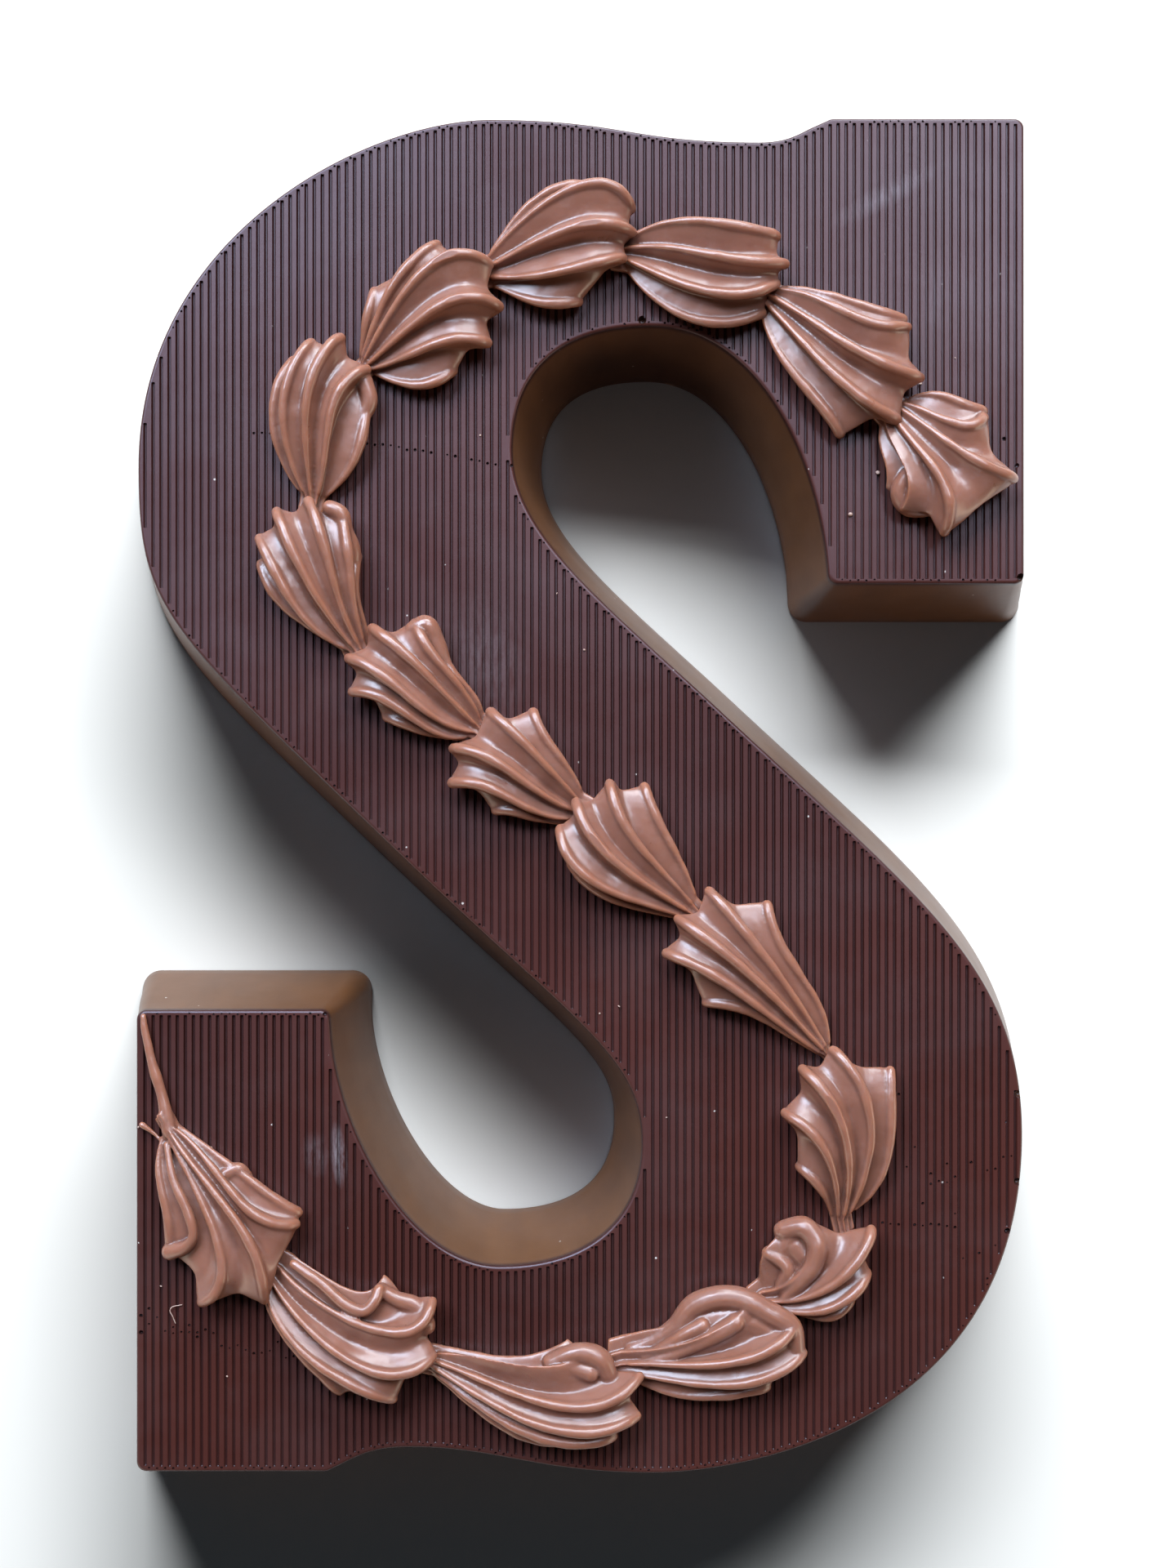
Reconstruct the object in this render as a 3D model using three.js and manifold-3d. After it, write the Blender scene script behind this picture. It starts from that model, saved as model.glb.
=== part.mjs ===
// A moulded letter S of dark chocolate with a string of piped milk chocolate shells along its face.
// Millimetres, +Z up. The letter lies on its flat back at z = 0, with its ribbed face and the shells up.
// The origin is on the back, under the middle of the letter. +Y runs to the top of the letter.
import * as THREE from "three";
import { mergeVertices } from "three/addons/utils/BufferGeometryUtils.js";
import Module from "manifold-3d";

const wasm = await Module();
wasm.setup();

// ---------------------------------------------------------------- driving sizes
const THICKNESS = 17; // back to ribbed face
const DRAFT_OUT = 3.25; // how far the back stands out past the face, so that the letter leaves its mould
const FACE_ROUND = 0.9; // round of the edge between face and wall
const BACK_CHAMFER = 0.35; // small break of the edge where the back was scraped level
const FACE_CORNER = 1.2; // plan radius of the letter's corners at the face
const CORNER_GROWTH = 0.4; // how much a corner's radius grows for each millimetre towards the back
const CURVE_STEP = 3.1; // length of one straight piece of the outline's curves
const CORNER_ROOM = 2.5; // no piece of a curve ends closer than this to a corner

const RIB_PITCH = 1.0; // ribs run along Y, one to the millimetre
const GROOVE_WIDTH = 0.46; // width of the groove between two ribs, at the face
const GROOVE_DEPTH = 0.27;

const SHELL_GAP = 0.1; // air between the shells and the tops of the ribs
const SHELL_CLEAR = 0.3; // air kept between a shell's tail and the head piped over it
const NOSE_START = 0.72; // part of a ridge's length where it is highest and starts to round down
const TIP_LEVEL = 0.46; // height of a ridge's tip, as a part of the ridge's own height
const TAIL_LEVEL = 0.34; // height of a ridge at the tail, as a part of the ridge's own height
const TAIL_BULGE = 0.2; // how far the middle of the tail's end stands back, as a part of its width
const FLUTE_DEPTH = 0.3; // depth of a flute, as a part of the distance between its two ridges
const FLUTE_SHORT = 0.04; // how much shorter a flute is than its ridges, which makes the head scalloped
const UNDERCUT = 0.17; // how far the foot of a shell is drawn in under its edge
const THREAD_END = 0.8; // width of the drawn thread at the letter's edge
const THREAD_START = 1.5; // its width where it leaves the last tail
const THREAD_STEPS = 6; // pieces along the thread
const LONG_STEPS = 9; // facets along a ridge
const FLUTE_STEPS = 4; // facets across a flute

const DARK = new THREE.MeshStandardMaterial({ color: 0x4a2f2e, roughness: 0.38, metalness: 0 });
const MILK = new THREE.MeshStandardMaterial({ color: 0xa2694d, roughness: 0.34, metalness: 0 });

// ---------------------------------------------------------------- the letter's outline
// The outline of the face runs counterclockwise from the top right corner. At a smooth point it
// heads towards `heading` degrees, and its curves reach `before` and `after` millimetres along that
// direction. At a corner each side has a heading of its own where that side is a curve.
const smooth = (x, y, heading, before, after) => ({ x, y, into: heading, out: heading, before, after });
const corner = (x, y, curves = {}) => ({ x, y, sharp: true, ...curves });

const OUTLINE = [
  corner(55.1, 84), // top right corner of the upper arm
  corner(31.2, 84, { out: 200, after: 4 }), // step in the top edge
  smooth(22.2, 81.1, 180, 4.5, 16), // dip beside the step
  smooth(-11.2, 83.9, 180, 16.5, 15), // crown of the upper bowl
  smooth(-54.9, 40.9, 270, 29, 18), // far left of the upper bowl
  smooth(-22, -7.8, 316, 42, 29.5), // left side of the diagonal
  smooth(7.7, -43.1, 270, 10.5, 9.5), // right side of the lower bay
  smooth(-10.1, -58.5, 180, 11.5, 11.5), // bottom of the lower bay
  corner(-31.1, -26.7, { into: 88, before: 13 }), // inner corner of the lower arm
  corner(-55.1, -26.7), // outer corner of the lower arm
  corner(-55.1, -84), // bottom left corner
  corner(-31.5, -84, { out: 21, after: 3 }), // step in the bottom edge
  smooth(-21.2, -81, 0, 6, 11), // dip beside the step
  smooth(9, -84.2, 0, 14.5, 9.5), // foot of the lower bowl
  smooth(54.9, -42.1, 90, 37.5, 20.5), // far right of the lower bowl
  smooth(18, 9.9, 137, 33.5, 21), // right side of the diagonal
  smooth(-8.5, 42.9, 90, 10.5, 8), // left side of the upper bay
  smooth(8.7, 58.2, 0, 13, 15), // top of the upper bay
  corner(30.8, 26.2, { into: 271, before: 12 }), // inner corner of the upper arm
  corner(55.1, 26.2), // outer corner of the upper arm
];

const radians = THREE.MathUtils.degToRad;
const direction = (degrees) => new THREE.Vector2(Math.cos(radians(degrees)), Math.sin(radians(degrees)));
const outwards = (heading) => new THREE.Vector2(heading.y, -heading.x);

// One side of the outline, from one point of the table to the next: a straight line or a curve.
function sideBetween(from, to) {
  const start = new THREE.Vector2(from.x, from.y);
  const end = new THREE.Vector2(to.x, to.y);
  if (from.out === undefined && to.into === undefined) {
    return { curve: new THREE.LineCurve(start, end), pieces: 1 };
  }
  const chord = end.clone().sub(start).normalize();
  const leaving = from.out === undefined ? chord : direction(from.out);
  const arriving = to.into === undefined ? chord : direction(to.into);
  const startHandle = start.clone().addScaledVector(leaving, from.after ?? 0);
  const endHandle = end.clone().addScaledVector(arriving, -(to.before ?? 0));
  const curve = new THREE.CubicBezierCurve(start, startHandle, endHandle, end);
  return { curve, pieces: Math.max(2, Math.round(curve.getLength() / CURVE_STEP)) };
}

// The outline as places that can be moved out by any distance. A place on a side moves along its
// normal, and the places of a corner stay on an arc that fits the two moved sides.
function outlinePlaces() {
  const places = [];
  const count = OUTLINE.length;
  const sides = OUTLINE.map((point, index) => sideBetween(point, OUTLINE[(index + 1) % count]));
  const nearCorner = (spot) =>
    OUTLINE.some((point) => point.sharp && Math.hypot(spot.x - point.x, spot.y - point.y) < CORNER_ROOM);
  for (let index = 0; index < count; index++) {
    const point = OUTLINE[index];
    const { curve, pieces } = sides[index];
    if (point.sharp) {
      const before = outwards(sides[(index + count - 1) % count].curve.getTangent(1));
      const after = outwards(curve.getTangent(0));
      places.push(...cornerPlaces(point, before, after));
    }
    for (let piece = point.sharp ? 1 : 0; piece < pieces; piece++) {
      const spot = curve.getPointAt(piece / pieces);
      const normal = outwards(curve.getTangentAt(piece / pieces));
      if (!nearCorner(spot)) {
        places.push((out) => spot.clone().addScaledVector(normal, out));
      }
    }
  }
  return places;
}

function cornerPlaces(point, normalBefore, normalAfter) {
  const turn = Math.acos(THREE.MathUtils.clamp(normalBefore.dot(normalAfter), -1, 1));
  const middle = normalBefore.clone().add(normalAfter).normalize();
  const steps = Math.max(1, Math.round(turn / radians(24)));
  const places = [];
  for (let step = 0; step <= steps; step++) {
    const angle = normalBefore.angle() + (turn * step) / steps;
    const normal = new THREE.Vector2(Math.cos(angle), Math.sin(angle));
    places.push((out) => {
      const radius = FACE_CORNER + CORNER_GROWTH * out;
      const centre = new THREE.Vector2(point.x, point.y);
      centre.addScaledVector(middle, (out - radius) / Math.cos(turn / 2));
      return centre.addScaledVector(normal, radius);
    });
  }
  return places;
}

// The levels of the wall from the back up: how far outside the face's outline, and how high.
const WALL_LEVELS = [
  [DRAFT_OUT - BACK_CHAMFER, 0],
  [DRAFT_OUT, BACK_CHAMFER],
  [0, THICKNESS - FACE_ROUND],
  [-FACE_ROUND, THICKNESS],
];

// ---------------------------------------------------------------- closed bodies
function toSolid(geometry) {
  const bare = geometry.clone();
  bare.deleteAttribute("normal");
  bare.deleteAttribute("uv");
  const merged = mergeVertices(bare, 1e-4);
  return new wasm.Manifold(new wasm.Mesh({
    numProp: 3,
    vertProperties: new Float32Array(merged.attributes.position.array),
    triVerts: new Uint32Array(merged.index.array),
  }));
}

function toGeometry(solid) {
  const mesh = solid.getMesh();
  const geometry = new THREE.BufferGeometry();
  geometry.setAttribute("position", new THREE.BufferAttribute(new Float32Array(mesh.vertProperties), 3));
  geometry.setIndex(new THREE.BufferAttribute(new Uint32Array(mesh.triVerts), 1));
  geometry.computeVertexNormals();
  return geometry;
}

// A closed body from a list of points and a list of corner numbers, three to a face.
function bodyOf(points, faces) {
  const geometry = new THREE.BufferGeometry();
  geometry.setFromPoints(points);
  geometry.setIndex(faces);
  return geometry;
}

// Two triangles between corners a-b of one row and c-d of the next.
const quad = (a, b, d, c) => [a, b, c, b, d, c];

function letterBody() {
  const places = outlinePlaces();
  const count = places.length;
  const points = [];
  const faces = [];
  for (const [out, height] of WALL_LEVELS) {
    for (const place of places) {
      const spot = place(out);
      points.push(new THREE.Vector3(spot.x, spot.y, height));
    }
  }
  for (let level = 0; level + 1 < WALL_LEVELS.length; level++) {
    for (let index = 0; index < count; index++) {
      const next = (index + 1) % count;
      const low = level * count;
      const high = low + count;
      faces.push(...quad(low + index, low + next, high + next, high + index));
    }
  }
  const top = (WALL_LEVELS.length - 1) * count;
  const flat = (start) =>
    points.slice(start, start + count).map((point) => new THREE.Vector2(point.x, point.y));
  for (const [a, b, c] of THREE.ShapeUtils.triangulateShape(flat(top), [])) {
    faces.push(top + a, top + b, top + c);
  }
  for (const [a, b, c] of THREE.ShapeUtils.triangulateShape(flat(0), [])) {
    faces.push(a, c, b);
  }
  return toSolid(bodyOf(points, faces));
}

// All the grooves as one body to cut away: a row of long bars with a V section.
function grooveBars() {
  const firstGroove = -54;
  const lastGroove = 54;
  const halfLength = 90;
  const above = 0.5;
  const halfMouth = (GROOVE_WIDTH / 2) * (1 + above / GROOVE_DEPTH);
  const sections = [];
  for (let x = firstGroove; x <= lastGroove; x += RIB_PITCH) {
    const section = new THREE.Shape();
    section.moveTo(x, THICKNESS - GROOVE_DEPTH);
    section.lineTo(x + halfMouth, THICKNESS + above);
    section.lineTo(x - halfMouth, THICKNESS + above);
    sections.push(section);
  }
  const bars = new THREE.ExtrudeGeometry(sections, { depth: 2 * halfLength, bevelEnabled: false });
  bars.rotateX(Math.PI / 2).translate(0, halfLength, 0);
  return toSolid(bars);
}

// ---------------------------------------------------------------- the piped shells
// Each shell was piped from its head back to its tail. `tail` is the middle of the tail on the face,
// `neck` is the tail's width and `height` the height of the head. Every ridge is listed from right to
// left, seen from the tail: [angle of its tip, reach of its tip, lean, hook]. A ridge leaves the tail
// `lean` degrees to the left of the straight line to its tip, and comes in turned by as much the
// other way, plus `hook` degrees. `thread` is the route, from its far end to the tail, of the string
// of chocolate that was drawn out of the last tail as the nozzle lifted.
const SHELLS = [
  { tail: [38.8, 47.3], neck: 4.6, height: 5.6,
    ridges: [[-97, 11.8, -30, -30], [-88, 13.4, -10, -50], [-70, 16.7, 0, -40], [-30, 17.2, -5, 20],
      [-2, 11, -10, 60], [3, 11.2, 35, 30]] },
  { tail: [23.7, 61.2], neck: 4.4, height: 6,
    ridges: [[-65, 18.8, -20, -15], [-46, 21.9, -5, 20], [-29, 21.1, -5, 20], [-11, 16.9, 10, 45],
      [-7, 16.3, 8, 10]] },
  { tail: [6.1, 67.1], neck: 4.8, height: 6,
    ridges: [[-27, 18.1, -38, 15], [-15, 18.7, -20, 30], [-6, 19.5, 10, 30], [6, 18.2, 30, 25],
      [11, 15.3, 20, 10]] },
  { tail: [-11.1, 64.8], neck: 4, height: 6.2,
    ridges: [[-23, 11.5, -15, 20], [2, 16.6, -20, -5], [13, 18.4, 5, -20], [23, 19.2, 30, -50],
      [37, 16.9, 25, -25]] },
  { tail: [-26.4, 53.1], neck: 2.6, height: 6.2,
    ridges: [[-7, 10.7, -30, 25], [7, 15.5, -5, -25], [21, 18.3, 10, -35], [38, 19.8, 20, -45],
      [60, 17.3, 10, -10], [87, 9.1, 5, 0]] },
  { tail: [-33, 37], neck: 3, height: 6,
    ridges: [[56, 12.6, -30, 0], [64, 16.8, 0, -40], [79, 19.9, 15, -15], [91, 18.8, 30, -5],
      [100, 16.9, 35, -5]] },
  { tail: [-27.7, 18.7], neck: 4, height: 5.8,
    ridges: [[86, 10.6, 10, -5], [94, 16.1, 10, 20], [107, 18.7, 10, 20], [121, 19.2, 10, 5],
      [134, 17.7, 30, 20], [142, 15.4, 10, -20]] },
  { tail: [-13.3, 8.5], neck: 4.4, height: 6,
    ridges: [[108, 10.4, -15, -35], [117, 14.7, -10, -20], [135, 17.6, 0, 10], [152, 17.7, 25, 40],
      [166, 15.6, 35, 60], [177, 10.6, 10, 0]] },
  { tail: [-0.9, -1.6], neck: 4.8, height: 6,
    ridges: [[110, 13, -25, -15], [129, 15.9, 0, 5], [154, 16.9, 10, 35], [170, 15.5, 20, 45],
      [185, 9.4, 10, 20]] },
  { tail: [13.1, -14], neck: 3.8, height: 6.2,
    ridges: [[107, 16, -5, -10], [120, 18.4, 5, -20], [136, 19.4, 10, -20], [149, 18.7, 15, -35],
      [161, 15.3, 10, -20]] },
  { tail: [30.3, -31.8], neck: 1.5, height: 6,
    ridges: [[110, 19.7, -25, -40], [125, 25.2, -5, 0], [138, 25.3, -5, 5], [149, 23.7, 0, 15],
      [159, 15.8, -5, 20]] },
  { tail: [32.2, -51.8], neck: 2.6, height: 6.2,
    ridges: [[70, 19.2, -40, -25], [93, 21.1, -30, 15], [106, 19.5, -25, 10], [121, 14.7, -25, 15],
      [134, 7.6, -15, 0]] },
  { tail: [23.6, -61.7], neck: 5, height: 5.4,
    ridges: [[-7, 9.9, -15, 30], [13, 12.4, -35, 0], [35, 15.3, -35, -5], [66, 11.6, -50, 25],
      [83, 9, 25, 0]] },
  { tail: [6.2, -69.7], neck: 6, height: 6,
    ridges: [[-13, 17.2, -20, -10], [3, 21.6, -10, 20], [14, 21.3, -5, 25], [28, 17, -15, 0],
      [45, 14, -5, 30]] },
  { tail: [-17.8, -69.9], neck: 3.8, height: 6,
    ridges: [[-32, 18.9, -10, 20], [-23, 23.9, -15, 15], [-14, 26, -15, 20], [-2, 25.6, -10, 40],
      [8, 20.5, 5, 30], [12, 18.2, -10, 15]] },
  { tail: [-37.2, -59.9], neck: 7, height: 5.8,
    ridges: [[-63, 15.6, -15, -15], [-46, 20.4, -30, -15], [-24, 21.6, -30, 35], [-5, 19.5, -35, 60],
      [4, 13, -15, 60]] },
  { tail: [-50.6, -41.3], neck: 2.2, height: 5.8,
    ridges: [[-92, 14.3, -25, -35], [-80, 21.6, 20, -60], [-60, 24.3, 5, -35], [-34, 19.6, 10, 45],
      [-31, 19, 2, 0]],
    thread: [[-54, -27.3], [-53.6, -30], [-52.5, -35.1], [-50.8, -40.9]] },
];

// How high a ridge stands along its length, as a part of its full height, and how far along its
// path it has come. It climbs from the tail, then rounds down over a nose to its tip.
function ridgeProfile(along) {
  if (along <= NOSE_START) {
    const climb = Math.sin((Math.PI / 2) * (along / NOSE_START));
    return { height: TAIL_LEVEL + (1 - TAIL_LEVEL) * climb, path: along };
  }
  const turn = (Math.PI / 2) * ((along - NOSE_START) / (1 - NOSE_START));
  return {
    height: TIP_LEVEL + (1 - TIP_LEVEL) * Math.cos(turn),
    path: NOSE_START + (1 - NOSE_START) * Math.sin(turn),
  };
}

// The ridges of one shell as functions from the part of the length to a point in space.
function ridgesOf({ tail, neck, height, ridges }) {
  const middle = new THREE.Vector2(...tail);
  const last = ridges.length - 1;
  const aim = direction((ridges[0][0] + ridges[last][0]) / 2);
  return ridges.map(([angle, reach, lean, hook], index) => {
    const side = 0.5 - index / last;
    const start = middle.clone().addScaledVector(outwards(aim), neck * side);
    start.addScaledVector(aim, neck * TAIL_BULGE * (4 * side * side - 1));
    const tip = middle.clone().addScaledVector(direction(angle), reach);
    const chord = THREE.MathUtils.radToDeg(tip.clone().sub(start).angle());
    const handle = 0.38 * reach;
    const path = new THREE.CubicBezierCurve(
      start,
      start.clone().addScaledVector(direction(chord + lean), handle),
      tip.clone().addScaledVector(direction(chord - lean + hook), -handle),
      tip,
    );
    const dome = Math.sin((Math.PI * (index + 0.35)) / (last + 0.7));
    return (along) => {
      const profile = ridgeProfile(along);
      const spot = path.getPoint(profile.path);
      return new THREE.Vector3(spot.x, spot.y, height * dome * profile.height);
    };
  });
}

// The middle line inside a shell, which its flutes and its foot are drawn towards.
function coreOf(ridgeLines, height) {
  return (along) => {
    const core = new THREE.Vector3();
    for (const ridge of ridgeLines) {
      core.add(ridge(along));
    }
    core.divideScalar(ridgeLines.length);
    core.z = 0.2 * height * ridgeProfile(along).height;
    return core;
  };
}

// A point of the fluted skin: `across` counts the ridges and the parts of the flutes between them.
function skinPoint(ridgeLines, core, across, along) {
  const left = Math.min(Math.floor(across), ridgeLines.length - 2);
  const between = across - left;
  const flute = 1 - Math.abs(2 * between - 1) ** 1.8;
  const reached = along * (1 - FLUTE_SHORT * flute);
  const a = ridgeLines[left](reached);
  const b = ridgeLines[left + 1](reached);
  const point = a.clone().lerp(b, between);
  const inwards = core(reached).sub(point).normalize();
  return point.addScaledVector(inwards, FLUTE_DEPTH * flute * a.distanceTo(b));
}

// The drawn thread as rows of points across it, half round, that lead up to the tail's first row.
function threadRows(route, columns) {
  const rows = [];
  const path = new THREE.SplineCurve(route.map(([x, y]) => new THREE.Vector2(x, y)));
  for (let step = 0; step < THREAD_STEPS; step++) {
    const spot = path.getPointAt(step / THREAD_STEPS);
    const heading = path.getTangentAt(step / THREAD_STEPS);
    const width = THREE.MathUtils.lerp(THREAD_END, THREAD_START, step / THREAD_STEPS);
    const row = [];
    for (let column = 0; column <= columns; column++) {
      const angle = (Math.PI * column) / columns;
      const point = spot.clone().addScaledVector(outwards(heading), 0.5 * width * Math.cos(angle));
      point.addScaledVector(heading, -0.3 * width * Math.sin(angle));
      row.push(new THREE.Vector3(point.x, point.y, width * (0.15 + 0.45 * Math.sin(angle))));
    }
    rows.push(row);
  }
  return rows;
}

function shellGeometry(shell) {
  const ridgeLines = ridgesOf(shell);
  const core = coreOf(ridgeLines, shell.height);
  const columns = (ridgeLines.length - 1) * FLUTE_STEPS;
  const skin = shell.thread ? threadRows(shell.thread, columns) : [];
  const tailRow = skin.length;
  for (let step = 0; step <= LONG_STEPS; step++) {
    const row = [];
    for (let column = 0; column <= columns; column++) {
      row.push(skinPoint(ridgeLines, core, column / FLUTE_STEPS, step / LONG_STEPS));
    }
    skin.push(row);
  }
  const rows = skin.length - 1;
  const floor = THICKNESS + SHELL_GAP;
  const points = skin.flat();
  for (const point of points) {
    point.z += floor;
  }
  const faces = [];
  const number = (row, column) => row * (columns + 1) + column;
  for (let row = 0; row < rows; row++) {
    for (let column = 0; column < columns; column++) {
      const right = number(row, column);
      const ahead = number(row + 1, column);
      faces.push(...quad(right + 1, right, ahead, ahead + 1));
    }
  }
  // The rim of the skin, once round: up the first ridge, along the head, down the last and the tail.
  const rim = [];
  for (let row = 0; row < rows; row++) rim.push([row, 0]);
  for (let column = 0; column < columns; column++) rim.push([rows, column]);
  for (let row = rows; row > 0; row--) rim.push([row, columns]);
  for (let column = columns; column > 0; column--) rim.push([0, column]);
  const foot = points.length;
  for (const [row, column] of rim) {
    const edge = points[number(row, column)];
    const along = THREE.MathUtils.clamp((row - tailRow) / LONG_STEPS, 0, NOSE_START);
    const inner = core(along);
    const drawn = row <= tailRow ? 0 : UNDERCUT;
    points.push(new THREE.Vector3(
      THREE.MathUtils.lerp(edge.x, inner.x, drawn),
      THREE.MathUtils.lerp(edge.y, inner.y, drawn),
      floor,
    ));
  }
  for (let index = 0; index < rim.length; index++) {
    const next = (index + 1) % rim.length;
    const edge = number(...rim[index]);
    const nextEdge = number(...rim[next]);
    faces.push(...quad(edge, nextEdge, foot + next, foot + index).reverse());
  }
  const flat = points.slice(foot).map((point) => new THREE.Vector2(point.x, point.y));
  for (const [a, b, c] of THREE.ShapeUtils.triangulateShape(flat, [])) {
    faces.push(foot + a, foot + c, foot + b);
  }
  return bodyOf(points, faces);
}

// The same body with its skin moved out all over.
function grown(geometry, distance) {
  const merged = mergeVertices(geometry, 1e-4);
  merged.computeVertexNormals();
  const { position, normal } = merged.attributes;
  const spot = new THREE.Vector3();
  const away = new THREE.Vector3();
  for (let index = 0; index < position.count; index++) {
    spot.fromBufferAttribute(position, index);
    away.fromBufferAttribute(normal, index);
    spot.addScaledVector(away, distance);
    position.setXYZ(index, spot.x, spot.y, spot.z);
  }
  return toSolid(merged);
}

function largestPart(solid) {
  const parts = solid.decompose();
  return parts.reduce((best, part) => (part.volume() > best.volume() ? part : best));
}

// ---------------------------------------------------------------- the object
const object = new THREE.Group();

function addPiece(name, solid, material) {
  const mesh = new THREE.Mesh(toGeometry(solid), material);
  mesh.name = name;
  object.add(mesh);
}

addPiece("letter", letterBody().subtract(grooveBars()), DARK);

// A shell's tail stops just short of the head that was piped over it next.
SHELLS.forEach((shell, index) => {
  let solid = toSolid(shellGeometry(shell));
  if (index + 1 < SHELLS.length) {
    solid = largestPart(solid.subtract(grown(shellGeometry(SHELLS[index + 1]), SHELL_CLEAR)));
  }
  addPiece(`shell_${String(index + 1).padStart(2, "0")}`, solid, MILK);
});

export default object;
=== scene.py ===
import math
import random

import bmesh
import bpy
import numpy as np
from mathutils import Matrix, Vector, noise


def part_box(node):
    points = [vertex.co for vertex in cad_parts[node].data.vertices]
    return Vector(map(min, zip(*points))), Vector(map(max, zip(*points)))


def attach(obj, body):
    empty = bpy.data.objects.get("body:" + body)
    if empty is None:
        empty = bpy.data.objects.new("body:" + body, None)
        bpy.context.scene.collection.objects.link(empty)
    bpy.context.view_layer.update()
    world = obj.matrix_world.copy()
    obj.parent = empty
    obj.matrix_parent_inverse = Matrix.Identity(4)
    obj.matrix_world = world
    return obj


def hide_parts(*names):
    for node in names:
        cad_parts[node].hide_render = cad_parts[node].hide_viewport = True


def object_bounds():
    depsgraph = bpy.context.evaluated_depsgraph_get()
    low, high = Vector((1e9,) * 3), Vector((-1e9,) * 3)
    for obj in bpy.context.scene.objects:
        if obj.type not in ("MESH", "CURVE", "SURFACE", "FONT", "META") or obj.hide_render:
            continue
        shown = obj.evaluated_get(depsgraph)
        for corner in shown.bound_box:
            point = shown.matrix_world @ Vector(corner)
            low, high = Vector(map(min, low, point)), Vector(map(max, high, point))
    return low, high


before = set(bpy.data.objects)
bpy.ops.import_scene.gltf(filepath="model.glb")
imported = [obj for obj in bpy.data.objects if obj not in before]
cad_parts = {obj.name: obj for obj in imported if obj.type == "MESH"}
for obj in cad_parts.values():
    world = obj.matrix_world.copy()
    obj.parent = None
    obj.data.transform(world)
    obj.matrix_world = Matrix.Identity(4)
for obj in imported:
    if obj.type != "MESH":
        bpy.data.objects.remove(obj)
cad_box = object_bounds()
scene = bpy.context.scene
MM = 0.001  # sizes and places are in millimetres, but the floor's and the lamps' are in metres

# ---- The moulded letter -----------------------------------------------------------------------
# A solid letter S of dark chocolate, cast in one piece in an open mould. The walls slope outwards to
# the back so that it drops out, the face's edge is rounded, and the back was scraped level.
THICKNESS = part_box("letter")[1].z / MM
DRAFT_OUT = 3.25
FACE_ROUND = 0.4
BACK_ROUND = 0.35
FACE_CORNER = 1.2
CORNER_GROWTH = 0.4
CURVE_STEP = 0.75
CORNER_ROOM = 2.3
CORNER_FACET = 9
FINE_STEPS = 400
WALL_BANDS = 10
ROUND_BANDS = 7
BACK_BANDS = 3
FACE_LIP = 0.05
WALL_WAVES = 0.06
WAVE_SCALE = 0.16
WAVE_SINK = 0.4


def smooth(x, y, heading, before, after):
    return dict(x=x, y=y, into=heading, out=heading, before=before, after=after, sharp=False)


def corner(x, y, into=None, before=0, out=None, after=0):
    return dict(x=x, y=y, into=into, out=out, before=before, after=after, sharp=True)


OUTLINE = [  # x, y, then each heading in degrees and how far the curve keeps to it, before or after
    corner(55.1, 84),  # top right corner of the upper arm
    corner(31.2, 84, out=200, after=4),  # step in the top edge
    smooth(22.2, 81.1, 180, 4.5, 16),  # dip beside the step
    smooth(-11.2, 83.9, 180, 16.5, 15),  # crown of the upper bowl
    smooth(-54.9, 40.9, 270, 29, 18),  # far left of the upper bowl
    smooth(-22, -7.8, 316, 42, 29.5),  # left side of the diagonal
    smooth(7.7, -43.1, 270, 10.5, 9.5),  # right side of the lower bay
    smooth(-10.1, -58.5, 180, 11.5, 11.5),  # bottom of the lower bay
    corner(-31.1, -26.7, into=88, before=13),  # inner corner of the lower arm
    corner(-55.1, -26.7),  # outer corner of the lower arm
    corner(-55.1, -84),  # bottom left corner
    corner(-31.5, -84, out=21, after=3),  # step in the bottom edge
    smooth(-21.2, -81, 0, 6, 11),  # dip beside the step
    smooth(9, -84.2, 0, 14.5, 9.5),  # foot of the lower bowl
    smooth(54.9, -42.1, 90, 37.5, 20.5),  # far right of the lower bowl
    smooth(18, 9.9, 137, 33.5, 21),  # right side of the diagonal
    smooth(-8.5, 42.9, 90, 10.5, 8),  # left side of the upper bay
    smooth(8.7, 58.2, 0, 13, 15),  # top of the upper bay
    corner(30.8, 26.2, into=271, before=12),  # inner corner of the upper arm
    corner(55.1, 26.2),  # outer corner of the upper arm
]


def direction(degrees):
    return np.array([math.cos(math.radians(degrees)), math.sin(math.radians(degrees))])


def unit(vector):
    return vector / np.linalg.norm(vector)


def curve_points(start, start_handle, end_handle, end, along):
    """Points of a cubic curve, one for each value of along from 0 to 1."""
    t = np.asarray(along, float)[..., None]
    return (
        (1 - t) ** 3 * start
        + 3 * (1 - t) ** 2 * t * start_handle
        + 3 * (1 - t) * t**2 * end_handle
        + t**3 * end
    )


def outline_side(a, b):
    """Evenly spaced points and headings along one side of the outline."""
    start, end = np.array([a["x"], a["y"]], float), np.array([b["x"], b["y"]], float)
    chord = unit(end - start)
    leaving = chord if a["out"] is None else direction(a["out"])
    arriving = chord if b["into"] is None else direction(b["into"])
    fine = curve_points(start, start + leaving * a["after"], end - arriving * b["before"], end,
                        np.linspace(0, 1, FINE_STEPS))
    travelled = np.r_[0, np.cumsum(np.linalg.norm(np.diff(fine, axis=0), axis=1))]
    pieces = max(2, round(travelled[-1] / CURVE_STEP))
    wanted = np.linspace(0, travelled[-1], pieces + 1)
    points = np.stack([np.interp(wanted, travelled, fine[:, axis]) for axis in (0, 1)], axis=1)
    tangents = np.gradient(fine, axis=0)
    headings = np.stack([np.interp(wanted, travelled, tangents[:, axis]) for axis in (0, 1)], axis=1)
    return points, headings / np.linalg.norm(headings, axis=1)[:, None]


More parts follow.
